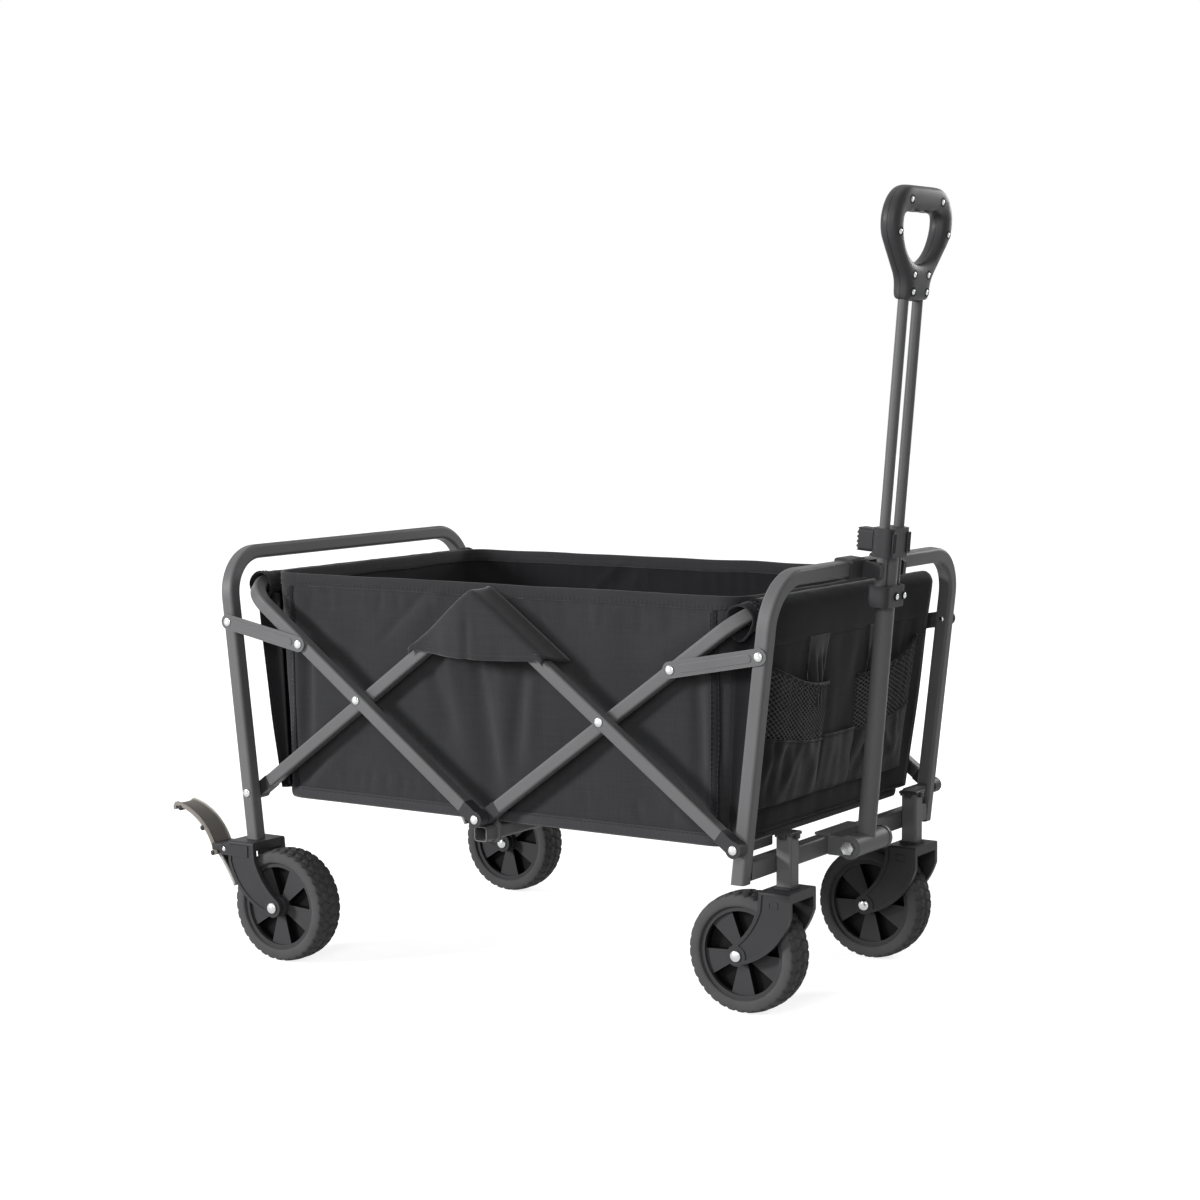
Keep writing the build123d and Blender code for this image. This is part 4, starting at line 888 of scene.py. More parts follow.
class EndPanel:
    """Where one end panel's cloth lies."""

    def __init__(self, end):
        low, high = mm_box(f"{end}_panel")
        self.body = f"{end}_panel"
        self.way = ENDS[end]
        self.bar_x = max(-low.x, high.x) - SLEEVE_R
        self.bar_z = high.z - SLEEVE_R
        self.low = low.z
        self.bend_y = BAR_HALF[end] - BAR_BEND

    def bottom(self, y):
        """Height of the wavy lower edge."""
        return self.low + 7 + 5 * ripple(y / 70, 4.0, 3.0 * self.way)

    def face(self, y, z, lift=0.0):
        """Point on the hanging outside, with its soft folds."""
        share = (self.bar_z - z) / (self.bar_z - self.low)
        x = self.bar_x + SLEEVE_R + (PANEL_FOOT - self.bar_x - SLEEVE_R) * share
        wave = 2.6 * ripple(y / 38, z / 110, 7.0 * self.way)
        wave += 1.6 * ripple(y / 14, z / 160, 2.0 * self.way)
        wave *= smooth_step(share, 0.04, 0.3) * (1 - 0.75 * smooth_step(share, 0.6, 1.0))
        return Vector((self.way * (x + wave + lift), y, z))

    def over(self, y, lift, start=150.0):
        """Points over the sleeve, from inside the basket to the top of the hanging face."""
        made = []
        for share in shares(SLEEVE_STEPS)[:-1]:
            angle = math.radians(start * (1 - share))
            reach = SLEEVE_R + 0.3 + lift + 0.5 * ripple(y / 18, angle * 2, self.way)
            made.append(Vector((self.way * (self.bar_x + reach * math.cos(angle)), y,
                                self.bar_z + reach * math.sin(angle))))
        return made

    def hang(self, y, low, rows, lift=0.0):
        """Points down the hanging outside, from the sleeve to a height."""
        return [self.face(y, self.bar_z + (low - self.bar_z) * share, lift) for share in shares(rows)]

    def side_edge(self, y):
        """Points down one side edge, from just under the sleeve."""
        drop = self.bar_z - self.bottom(y) - 4
        return [self.face(y, self.bar_z - 4 - drop * share) for share in shares(EDGE_STEPS)]

    def outward(self, columns):
        """Columns in the order that turns the cloth's outer side away from the basket."""
        return columns if self.way > 0 else columns[::-1]

    def tube_centre(self, y):
        """Middle of the bent cross bar at a distance across the wagon."""
        past = max(0.0, abs(y) - self.bend_y)
        back = BAR_BEND - math.sqrt(BAR_BEND ** 2 - past ** 2)
        return self.bar_x - back * math.cos(ARM_ANGLE), self.bar_z - back * math.sin(ARM_ANGLE)

    def cap_rings(self, side):
        """Rings of a cap round the bent bar, which flares and droops from its root to its mouth."""
        rings = []
        for flare in shares(CAP_SECTIONS):
            y = side * (CAP_START + (CAP_END - CAP_START) * flare)
            x, z = self.tube_centre(y)
            reach = SLEEVE_R + 1.3 + 3.4 * flare ** 1.5
            ring = []
            for step in range(CAP_SIDES):
                angle = 2 * math.pi * step / CAP_SIDES
                wide = reach + 0.7 * flare * math.sin(3 * angle + 1.0)
                tall = reach * (1 + 0.35 * flare * max(0.0, -math.sin(angle)))
                ring.append(Vector((self.way * (x + wide * math.cos(angle)), y, z + tall * math.sin(angle))))
            rings.append(ring)
        return rings

    def cap_seams(self, rings):
        """Stitch rows round a cap, behind its mouth."""
        rows = []
        for ring in (rings[CAP_SECTIONS - 3], rings[CAP_SECTIONS - 5]):
            x, z = self.tube_centre(ring[0].y)
            centre = Vector((self.way * x, ring[0].y, z))
            rows.append([(point + (point - centre).normalized() * 0.1, point - centre) for point in ring + ring[:1]])
        return rows

    def gusset(self, side):
        """Columns of the cloth that closes the wedge between the basket's corner and the panel."""
        made = []
        for down in shares(GUSSET_ROWS):
            z = self.bar_z - 12 - (self.bar_z - 12 - self.low - 10) * down
            half_x, half_y = tub_half(z)
            start = Vector((self.way * (half_x - 7), side * (half_y - 5), z))
            stop = self.face(side * (PANEL_EDGE - 1), z, -0.4)
            made.append([start.lerp(stop, share) + Vector((0, -side * 3.0 * math.sin(math.pi * share), 0))
                         for share in shares(GUSSET_STEPS)])
        return made


panels = {end: EndPanel(end) for end in ENDS}
for end, panel in panels.items():
    body = panel.body
    cloth = add_sheet(
        f"{end}_panel_cloth",
        panel.outward([panel.over(y, 0.0) + panel.hang(y, panel.bottom(y), PANEL_ROWS) for y in PANEL_SPOTS]),
        fabric_dark, body, PANEL_CLOTH,
    )
    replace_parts(cloth, body)
    top_band = add_sheet(
        f"{end}_panel_band",
        panel.outward([panel.over(y, BAND_LIFT, 140.0) + panel.hang(y, BAND_LOW, 8, BAND_LIFT) for y in PANEL_SPOTS]),
        fabric_dark, body, TRIM_CLOTH,
    )
    foot = [panel.face(y, panel.bottom(y)) for y in PANEL_SPOTS[1:-1]]
    outline = panel.side_edge(-PANEL_EDGE) + foot + panel.side_edge(PANEL_EDGE)[::-1]
    edge = add_tube(f"{end}_panel_edge", outline, PANEL_PIPING, fabric_trim, body)
    out = (panel.way, 0, 0)
    sewn = add_stitches(
        f"{end}_panel_stitches",
        [[(panel.face(y, BAND_LOW + rise, BAND_LIFT + 0.1), out) for y in PANEL_SPOTS] for rise in (2.0, 5.2)]
        + [[(panel.face(y, panel.bottom(y) + 6, 0.1), out) for y in PANEL_SPOTS]]
        + [[(panel.face(side * (PANEL_EDGE - EDGE_SEAM[0]), EDGE_SEAM[1] - 5 * step, 0.1), out) for step in range(45)]
           for side in SIDES.values()],
        body,
    )
    for side_name, side in SIDES.items():
        rings = panel.cap_rings(side)
        strips = [[ring[step] for ring in rings] for step in range(CAP_SIDES)]
        if side * panel.way > 0:
            strips.reverse()
        cap = add_sheet(f"{end}_cap_{side_name}", strips, fabric_dark, body, CAP_CLOTH, closed=True)
        mouth = add_tube(f"{end}_cap_mouth_{side_name}", rings[-1], CAP_PIPING, fabric_trim, body, closed=True)
        cap_sewn = add_stitches(f"{end}_cap_stitches_{side_name}", panel.cap_seams(rings), body)
        wedge = panel.gusset(side)
        if side * panel.way < 0:
            wedge.reverse()
        add_sheet(f"{end}_gusset_{side_name}", wedge, fabric_dark, body, GUSSET_CLOTH)

# Front pockets: creased cloth below, net above, and a gathered elastic edge
POCKET_Y = 109.0
POCKET_HALF = 74.0
POCKET_LOW = 238.0
POCKET_BULGE = 10.5
POCKET_CLOTH = 1.0
POCKET_PIPING = 1.5
ELASTIC_R = 2.1
POCKET_STEPS = 44
POCKET_ROWS = 18
POCKET_SPOTS = spread(POCKET_STEPS)
NET_WIDE = 8.5
NET_STRAND = 1.2
NET_TALL = 13  # meshes up the net
STRAP_STEPS = 16
STRAP_ROWS = 22
STRAP_INNER = 48.0
STRAP_WIDE = 52.0
STRAP_TOP = 428.0
STRAP_DROP = 84.0
front = panels["front"]


class Pocket:
    """Shape of one pocket; its top edge and seam slope down towards the middle of the panel."""

    def __init__(self, side):
        self.side = side
        chance = random.Random(31 + side)
        self.creases = []
        for step in range(9):
            top = chance.uniform(-60, 60)
            foot = (top + chance.uniform(-75, 75), chance.uniform(236, 280))
            height = (-1) ** step * chance.uniform(1.2, 3.2)
            self.creases.append(Fold((top, chance.uniform(290, 318)), foot, chance.uniform(6, 12), height))

    def inward(self, u):
        """0 at the pocket's outer edge and 1 at its inner edge."""
        return 0.5 - 0.5 * u * self.side

    def top(self, u):
        t = self.inward(u)
        return 402 - 34 * t - 9 * math.sin(math.pi * t)

    def seam(self, u):
        t = self.inward(u)
        return 320 - 18 * t - 3 * math.sin(math.pi * t)

    def point(self, u, z, lift=0.0):
        y = self.side * POCKET_Y + u * POCKET_HALF
        v = (z - POCKET_LOW) / (self.top(u) - POCKET_LOW)
        full = 1 - abs(u) ** 3
        depth = 0.8 + POCKET_BULGE * full * (0.35 + 0.65 * math.sin(min(1.0, v * 1.1) * math.pi / 2))
        crease = sum(fold.at(u * POCKET_HALF, z) for fold in self.creases) * full
        gather = 0.9 * math.sin(u * 34) * smooth_step(v, 0.8, 1.0) * full
        return front.face(y, z, max(0.4, depth + crease + gather + lift))

    def cloth(self):
        """Columns of the creased cloth below the net, from the seam down."""
        return [[self.point(u, self.seam(u) + (POCKET_LOW - self.seam(u)) * share) for share in shares(POCKET_ROWS)]
                for u in POCKET_SPOTS]

    def net(self):
        """Points and faces of the net's diamond meshes, with their knots counted in half steps."""
        wide = round(2 * POCKET_HALF / NET_WIDE)
        knots = {}
        points = []
        faces = []
        for i in range(2 * wide - 1):
            for j in range(i % 2, 2 * NET_TALL - 1, 2):
                mesh = ((i, j + 1), (i + 1, j), (i + 2, j + 1), (i + 1, j + 2))
                for knot in mesh:
                    if knot not in knots:
                        u = min(1.0, max(-1.0, knot[0] / wide - 1))
                        v = min(1.0, max(0.0, knot[1] / (2 * NET_TALL)))
                        knots[knot] = len(points)
                        points.append(self.point(u, self.seam(u) + (self.top(u) - self.seam(u)) * v))
                faces.append(tuple(knots[knot] for knot in mesh))
        return points, faces

    def strap(self):
        """Columns of the loose strap of cloth that hangs from the band beside the net."""
        made = []
        for step in range(STRAP_STEPS + 1):
            line = []
            for row in range(STRAP_ROWS + 1):
                down = row / STRAP_ROWS
                y = self.side * (STRAP_INNER + STRAP_WIDE * (1 - 0.35 * down) * step / STRAP_STEPS + 10 * down)
                lift = 1.6 + 9 * math.sin(math.pi * step / STRAP_STEPS) * down
                lift += 3.2 * math.sin(step * 1.15 + row * 0.16) * smooth_step(down, 0.1, 0.6)
                line.append(front.face(y, STRAP_TOP - STRAP_DROP * down, lift))
            made.append(line)
        return made if self.side > 0 else made[::-1]


for side_name, side in SIDES.items():
    pocket = Pocket(side)
    lower = add_sheet(f"pocket_cloth_{side_name}", pocket.cloth(), fabric_trim, "front_panel", POCKET_CLOTH)
    seam_path = [pocket.point(u, pocket.seam(u), 0.5) for u in POCKET_SPOTS]
    seam = add_tube(f"pocket_seam_{side_name}", seam_path, POCKET_PIPING, fabric_trim, "front_panel")
    top_path = [pocket.point(u, pocket.top(u), 0.3) for u in POCKET_SPOTS]
    elastic = add_tube(f"pocket_elastic_{side_name}", top_path, ELASTIC_R, fabric_trim, "front_panel")
    net = add_piece(f"pocket_net_{side_name}", *pocket.net(), net_cord, "front_panel", "net")
    strands = net.modifiers.new("strands", "WIREFRAME")
    strands.thickness = NET_STRAND * MM
    settle(net)
    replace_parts(net, "pocket_nets")
    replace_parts(lower, "front_pockets")
    sewn_path = [(pocket.point(u, pocket.seam(u) - 4, 0.1), (1, 0, 0)) for u in POCKET_SPOTS]
    sewn = add_stitches(f"pocket_stitches_{side_name}", [sewn_path], "front_panel")
    strap = add_sheet(f"pocket_strap_{side_name}", pocket.strap(), fabric, "front_panel", POCKET_CLOTH)

# Low pocket between the two, with a piped top edge
LOW_POCKET_HALF = 44.0
LOW_POCKET_TOP = 304.0
LOW_POCKET_PIPING = 1.8
LOW_POCKET_STEPS = 20
LOW_POCKET_ROWS = 12
low_spots = spread(LOW_POCKET_STEPS)
low_heights = [LOW_POCKET_TOP + (POCKET_LOW - LOW_POCKET_TOP) * share for share in shares(LOW_POCKET_ROWS)]


def low_pocket(u, z):
    """Point on the low pocket, at a share across it and a height."""
    depth = 0.8 + 5 * (1 - u ** 4) * (0.4 + 0.6 * (z - POCKET_LOW) / (LOW_POCKET_TOP - POCKET_LOW))
    return front.face(u * LOW_POCKET_HALF, z, depth + 1.2 * ripple(u * 3, z / 25, 8.0))


middle_pocket = add_sheet(
    "pocket_middle", [[low_pocket(u, z) for z in low_heights] for u in low_spots],
    fabric, "front_panel", POCKET_CLOTH,
)
piped = [low_pocket(u, LOW_POCKET_TOP) for u in low_spots]
piping = add_tube("pocket_piping", piped, LOW_POCKET_PIPING, fabric_trim, "front_panel")


# Rivets, axles and pins with domed heads

def solids_of(node):
    """Lowest and highest corners, in millimetres, of each separate solid in a CAD node."""
    work = bmesh.new()
    work.from_mesh(nodes[node].data)
    bmesh.ops.remove_doubles(work, verts=work.verts, dist=1e-6)
    left = set(work.verts)
    found = []
    for start in work.verts:
        if start not in left:
            continue
        left.remove(start)
        group = [start]
        places = []
        while group:
            vertex = group.pop()
            places.append(vertex.co / MM)
            for edge in vertex.link_edges:
                other = edge.other_vert(vertex)
                if other in left:
                    left.remove(other)
                    group.append(other)
        found.append((Vector(min(p[axis] for p in places) for axis in range(3)),
                      Vector(max(p[axis] for p in places) for axis in range(3))))
    work.free()
    return found


RIVET_SHANK = 3.0
RIVET_HEAD = 2.4
RIVETED = {"arm": "arms", "leg": "end", "link": "links"}
HEADS = {f"{end}_{part}_rivets": f"{end}_{body}" for part, body in RIVETED.items() for end in ENDS}
for node, body in {"base_pins": "base", **HEADS}.items():
    parts = []
    for low, high in solids_of(node):
        side = 1 if low.y + high.y > 0 else -1
        inner, outer = sorted((abs(low.y), abs(high.y)))
        centre = ((low.x + high.x) / 2, 0, (low.z + high.z) / 2)
        head = dome(outer - RIVET_HEAD, RIVET_HEAD, (high.x - low.x) / 2)
        shank = [(inner, 0.0), (inner, RIVET_SHANK), (outer - RIVET_HEAD, RIVET_SHANK)]
        parts.append(turned(shank + head, centre, (0, side, 0)))
    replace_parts(add_piece(f"{node}_domed", *joined(parts), zinc, body, "zinc"), node)

AXLE_HEAD = 4.0
AXLE_SHANK = 4.0
HEADED_OVER = 10.0  # an axle wider than this has heads on its ends
AXLES = {"rear_axles": "rear_end", "caster_pins_right": "caster_right", "caster_pins_left": "caster_left"}
for node, body in AXLES.items():
    parts = []
    for low, high in solids_of(node):
        centre = (low + high) / 2
        size = high - low
        if size.z > size.y:
            half, radius = size.z / 2, size.x / 2
            kingpin = [(-half, 0.0), (-half, radius - 1), (1 - half, radius), (half - 1, radius), (half, radius - 1),
                       (half, 0.0)]
            parts.append(turned(kingpin, centre, (0, 0, 1)))
            continue
        headed = size.x > HEADED_OVER
        base = size.y / 2 - (AXLE_HEAD if headed else 0.8)
        shank = AXLE_SHANK if headed else size.x / 2
        end_cap = dome(base, size.y / 2 - base, size.x / 2 if headed else shank)
        far_cap = [(-along, radius) for along, radius in reversed(end_cap)]
        parts.append(turned(far_cap + [(-base, shank), (base, shank)] + end_cap, centre, (0, 1, 0), 24))
    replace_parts(add_piece(f"{node}_domed", *joined(parts), zinc, body, "zinc"), node)

# Tyres: smooth wide sidewalls, and a tread of staggered zigzag blocks
TREAD_BLOCKS = 34
TREAD_DEPTH = 2.0
TYRE_STEPS = 408
TREAD_STEPS = 26
TREAD_HALF = 19.6
CROWN_DROP = 2.6


def tread_cut(turn, across):
    """0 on top of a block and 1 in a groove; turn counts blocks round the tyre, across is from -1 to 1."""
    zigzag = 0.30 * abs((abs(across) * 3.0) % 2.0 - 1.0)
    row = 0.5 if across > 0 else 0.0
    place = (turn + zigzag + row) % 1.0
    groove = 1 - smooth_step(min(place, 1 - place), 0.10, 0.20)
    middle_groove = 1 - smooth_step(abs(across + 0.10 * math.sin(turn * 2 * math.pi)), 0.04, 0.10)
    rib = 1 - smooth_step(abs(abs(across) - 0.62), 0.02, 0.06)
    groove *= 1 - 0.4 * smooth_step(abs(across), 0.78, 1.0)
    return max(groove, 0.8 * middle_groove, 0.55 * rib)


def tyre_mesh(centre, radius, width, bore):
    """Points and faces of a tyre: each section runs from bead to bead, over both sidewalls and the tread."""
    half = width / 2
    profile = [(-half + 5, bore), (-half + 1.4, bore + 0.3), (-half + 0.5, bore + 1.4), (-half, bore + 4.0),
               (-half + 0.2, radius - 7.0), (-half + 0.7, radius - 5.6)]
    tread = [TREAD_HALF * share for share in spread(TREAD_STEPS)]
    points = []
    for step in range(TYRE_STEPS):
        angle = 2 * math.pi * step / TYRE_STEPS
        turn = TREAD_BLOCKS * step / TYRE_STEPS
        line = list(profile)
        for offset in tread:
            share = offset / TREAD_HALF
            crown = radius - CROWN_DROP * abs(share) ** 3
            line.append((offset, crown - TREAD_DEPTH * tread_cut(turn, share)))
        line += [(-offset, height) for offset, height in reversed(profile)]
        for offset, height in line:
            points.append((centre.x + height * math.cos(angle), centre.y + offset,
                           centre.z + height * math.sin(angle)))
    rows = len(points) // TYRE_STEPS
    faces = grid_faces(TYRE_STEPS, rows, closed=True)
    faces += [((step + 1) % TYRE_STEPS * rows, step * rows, step * rows + rows - 1,
               (step + 1) % TYRE_STEPS * rows + rows - 1) for step in range(TYRE_STEPS)]
    return points, [tuple(reversed(face)) for face in faces]


for end in ENDS:
    for side_name in SIDES:
        node = f"{end}_tyre_{side_name}"
        low, high = mm_box(node)
        rim_low, rim_high = mm_box(f"{end}_rim_{side_name}")
        shape = tyre_mesh((low + high) / 2, (high.z - low.z) / 2, high.y - low.y, (rim_high.z - rim_low.z) / 2)
        tyre = add_piece(f"{node}_lugged", *shape, tyre_rubber, f"{end}_wheel_{side_name}", "tyre")
        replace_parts(tyre, node)

# Grip: both shells as one softly rounded moulding with a parting line, and its screws in wells painted black as shade
HANDLE_PIVOT = Vector((385.0, 0.0, 177.0))
HANDLE_LEAN = math.radians(4.9)
GRIP_BOTTOM = 634.0
GRIP_VOXEL = 1.4
GRIP_ROUNDING = 100
GRIP_SWELL = 1.6
GRIP_FLATTEN = 0.80
SCALLOP = 3.2
SCALLOP_STEP = 24.0
GRIP_SCREWS = [(17.0, 9.5), (17.5, 29.0), (61.0, 76.0), (39.0, 112.5)]
handle_up = Vector((math.sin(HANDLE_LEAN), 0, math.cos(HANDLE_LEAN)))
handle_out = Vector((math.cos(HANDLE_LEAN), 0, -math.sin(HANDLE_LEAN)))


def on_handle(across, along, out):
    """Point on the handle: across the wagon, up the handle from its pivot, and forward of its middle."""
    return HANDLE_PIVOT + Vector((0, across, 0)) + handle_up * along + handle_out * out


shells = [nodes[node].data for node in ("grip_front_shell", "grip_rear_shell")]
grip_shape = joined([([vertex.co / MM for vertex in shell.vertices], [face.vertices for face in shell.polygons])
                     for shell in shells])
grip_moulding = moulded("grip_moulding", GRIP_BLACK, GRIP_GLOSS, parting=(HANDLE_PIVOT * MM, handle_out))
grip = add_piece("grip_soft", *grip_shape, grip_moulding, "handle_upper", "grip_plastic")
voxels = grip.modifiers.new("voxels", "REMESH")
voxels.mode = "VOXEL"
voxels.voxel_size = GRIP_VOXEL * MM
voxels.use_smooth_shade = True
rounding = grip.modifiers.new("rounding", "SMOOTH")
rounding.factor = 0.5
rounding.iterations = GRIP_ROUNDING
swell = grip.modifiers.new("swell", "DISPLACE")
swell.mid_level = 0.0
swell.strength = GRIP_SWELL * MM
settle(grip)
grip_normals = [vertex.normal.copy() for vertex in grip.data.vertices]
for vertex, normal in zip(grip.data.vertices, grip_normals):
    place = vertex.co / MM - HANDLE_PIVOT
    up = place.dot(handle_up) - GRIP_BOTTOM
    under = max(0.0, -normal.dot(handle_up)) * smooth_step(up, 84, 94) * (1 - smooth_step(abs(place.y), 34, 46))
    lift = SCALLOP * under * (0.5 + 0.5 * math.cos(2 * math.pi * place.y / SCALLOP_STEP))
    vertex.co += (handle_up * lift - handle_out * place.dot(handle_out) * (1 - GRIP_FLATTEN)) * MM
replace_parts(grip, "grip_front_shell")
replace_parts(grip, "grip_rear_shell")

# a well round each screw, painted black as the shade inside it
WELL = [(-2.2, 0.0), (-2.2, 5.0), (0.15, 5.3), (0.3, 4.6), (-0.7, 3.9), (-0.7, 0.0)]
grip_tree = BVHTree.FromPolygons(
    [vertex.co for vertex in grip.data.vertices], [face.vertices for face in grip.data.polygons]
)
screws = []
wells = []
for across, up in GRIP_SCREWS:
    for side in SIDES.values():
        place, facing, _, _ = grip_tree.ray_cast(on_handle(side * across, GRIP_BOTTOM + up, 30.0) * MM, -handle_out)
        wells.append(turned(WELL, place / MM, facing))
        screws.append(turned(dome(-1.0, 2.0, 3.3), place / MM, facing))
add_piece("grip_screw_wells", *joined(wells), painted_shade_black, "handle_upper", "black_plastic")
add_piece("grip_screws", *joined(screws), zinc, "handle_upper", "zinc")


# Small mouldings: lock windows, collar rivets, post-cap tabs and the marks on the fork cheeks

def block(centre, size, across=(1, 0, 0), along=(0, 1, 0)):
    """Points and faces of a box with two of its directions given."""
    u = Vector(across) * size[0] / 2
    v = Vector(along) * size[1] / 2
    w = Vector(across).cross(Vector(along)) * size[2] / 2
    return lofted([[Vector(centre) + way * w + a * u + b * v for a, b in ((-1, -1), (1, -1), (1, 1), (-1, 1))]
                   for way in (-1, 1)])


def crisp(piece, edge):
    """Bevel a hard-edged piece and keep its flat faces flat."""
    bevel = piece.modifiers.new("edges", "BEVEL")
    bevel.width = edge * MM
    bevel.segments = 2
    settle(piece)
    piece.data.set_sharp_from_angle(angle=math.radians(50))
    return piece


def border(centre, across, along, half_across, half_along, corner):
    """Closed path round a rectangle with rounded corners."""
    path = []
    for quarter, (a, b) in enumerate(((1, 1), (-1, 1), (-1, -1), (1, -1))):
        for share in shares(4):
            angle = (quarter + share) * math.pi / 2
            path.append(Vector(centre) + Vector(across) * (a * (half_across - corner) + corner * math.cos(angle))
                        + Vector(along) * (b * (half_along - corner) + corner * math.sin(angle)))
    return path


side_axis = Vector((0, 1, 0))
LOCK_FACE = 14.0
LOCK_MIDDLE = 356.0
COLLAR_MIDDLE = 293.5
WINDOW_ACROSS = 18.5
for side_name, side in SIDES.items():
    place = on_handle(side * WINDOW_ACROSS, LOCK_MIDDLE, LOCK_FACE)
    # each lock window is a thin black pane: painted shade in place of the hollow behind it
    pane = block(place, (6.0, 22.0, 0.5), side_axis, handle_up)
    crisp(add_piece(f"lock_window_{side_name}", *pane, painted_shade_black, "handle_lower", "black_plastic"), 0.1)
    edge = border(place, side_axis, handle_up, 3.6, 11.8, 1.4)
    add_tube(f"lock_window_frame_{side_name}", edge, 0.75, black_plastic, "handle_lower", "black_plastic",
             sides=8, closed=True)
RIVET_SEAT = [(-0.5, 0.0), (-0.5, 4.8), (0.3, 4.8), (0.5, 4.2), (0.5, 0.0)]
rivet_spots = [on_handle(across, COLLAR_MIDDLE, LOCK_FACE) for across in (0.0, 19.0)]
collar_rivets = [turned(dome(-0.5, 2.2, 3.6), spot, handle_out) for spot in rivet_spots]
add_piece("collar_rivets", *joined(collar_rivets), zinc, "handle_upper", "zinc")
# a black seat round each rivet: painted shade
rivet_seats = [turned(RIVET_SEAT, spot, handle_out) for spot in rivet_spots]
add_piece("collar_rivet_seats", *joined(rivet_seats), painted_shade_black, "handle_upper", "black_plastic")

cap_low, cap_high = mm_box("post_caps")
CAP_HALF = (cap_high.x - cap_low.x) / 2
cap_x = (cap_high.x + cap_low.x) / 2
tabs = []
for side in SIDES.values():
    cap_y = side * (cap_high.y - CAP_HALF)
    for way_x, way_y in ((1, 0), (-1, 0), (0, 1), (0, -1)):
        centre = (cap_x + way_x * (CAP_HALF + 0.4), cap_y + way_y * (CAP_HALF + 0.4), cap_high.z - 5.0)
        tabs.append(block(centre, (4.0 if way_x else 9.0, 4.0 if way_y else 9.0, 6.0)))
crisp(add_piece("post_cap_tabs", *joined(tabs), black_plastic, "front_end", "black_plastic"), 0.6)

CHEEK_FACE = 29.1
MARK_DROP = 15.0
FORKS = {
    "rear_fork_right": ("rear_end", 1), "rear_fork_left": ("rear_end", 1),
    "caster_fork_right": ("caster_right", -1), "caster_fork_left": ("caster_left", -1),
}
for node, (body, lean) in FORKS.items():
    low, high = mm_box(node)
    wheel_y = (low.y + high.y) / 2
    crown_x = low.x + 37.0 if lean > 0 else high.x - 22.0
    for side_name, side in SIDES.items():
        centre = Vector((crown_x, wheel_y + side * CHEEK_FACE, high.z - MARK_DROP))
        edge = border(centre, (1, 0, 0), (0, 0, 1), 5.5, 3.8, 1.6)
        add_tube(f"{node}_mark_{side_name}", edge, 0.7, fork_plastic, body, "black_plastic", sides=8, closed=True)

# Brake pedals: a rimmed foot plate with ribs under it, on an arm that also carries the tongue for the tyre
PEDAL_PIN = (-372.97, 136.0)
PEDAL_FOOT = (1.0, -50.0)
PEDAL_SHANK = (14.0, -28.5)
PEDAL_BEND = (26.0, -12.0)
PEDAL_CREST = (50.0, 28.0)
PEDAL_TIP = (89.0, 47.0)
PEDAL_CURL = [(92.0, 46.0), (93.6, 43.0), (92.6, 39.5)]
PEDAL_RIBS = (0.04, 0.42, 0.95)
PLATE_HALF = 17.0
PLATE_SECTION = [(-1.0, -2.0), (-1.0, 1.4), (-0.95, 2.4), (-0.86, 2.4), (-0.80, 1.0), (0.0, 0.4),
                 (0.80, 1.0), (0.86, 2.4), (0.95, 2.4), (1.0, 1.4), (1.0, -2.0)]
PLATE_STEPS = 30
# the near rim keeps the pedal's own colour; the far rim is a painted highlight
PLATE_RIMS = {"near": (2, 3, pedal_plastic), "far": (8, 7, pedal_painted_highlight)}
TONGUE_HALF = 8.0
TONGUE_STEPS = 12
TONGUE_SECTION = [(-1.0, -1.6), (-1.0, 1.6), (1.0, 1.6), (1.0, -1.6)]
RIB = [(-PLATE_HALF - 1, 0.0), (-PLATE_HALF - 1, 2.6), (-PLATE_HALF, 3.4), (PLATE_HALF, 3.4), (PLATE_HALF + 1, 2.6),
       (PLATE_HALF + 1, 0.0)]
HUB = [(-22.0, 3.2), (-22.0, 6.4), (-21.4, 7.0), (21.4, 7.0), (22.0, 6.4), (22.0, 3.2)]


def arc_through(first, middle, last, steps):
    """Points (back, up) along the circle through three points."""
    a, b, c = (Vector(point) for point in (first, middle, last))
    ab, ac = b - a, c - a
    twice = 2 * (ab.x * ac.y - ab.y * ac.x)
    centre = a + Vector((ac.y * ab.length_squared - ab.y * ac.length_squared,
                         ab.x * ac.length_squared - ac.x * ab.length_squared)) / twice
    start = a - centre
    sweep = -start.angle_signed(c - centre)
    return [centre + Matrix.Rotation(sweep * share, 2) @ start for share in shares(steps)]


def pedal_rings(path, section, half, middle):
    """A section of (share across, rise) carried along a path of (back, up) points."""
    rings = []
    for index, point in enumerate(path):
        run = path[min(index + 1, len(path) - 1)] - path[max(index - 1, 0)]
        rise = Vector((-run.y, run.x)).normalized()
        origin = Vector((PEDAL_PIN[0] - point.x, middle, PEDAL_PIN[1] + point.y))
        rings.append([origin + Vector((-rise.x * lift, share * half, rise.y * lift)) for share, lift in section])
    return rings


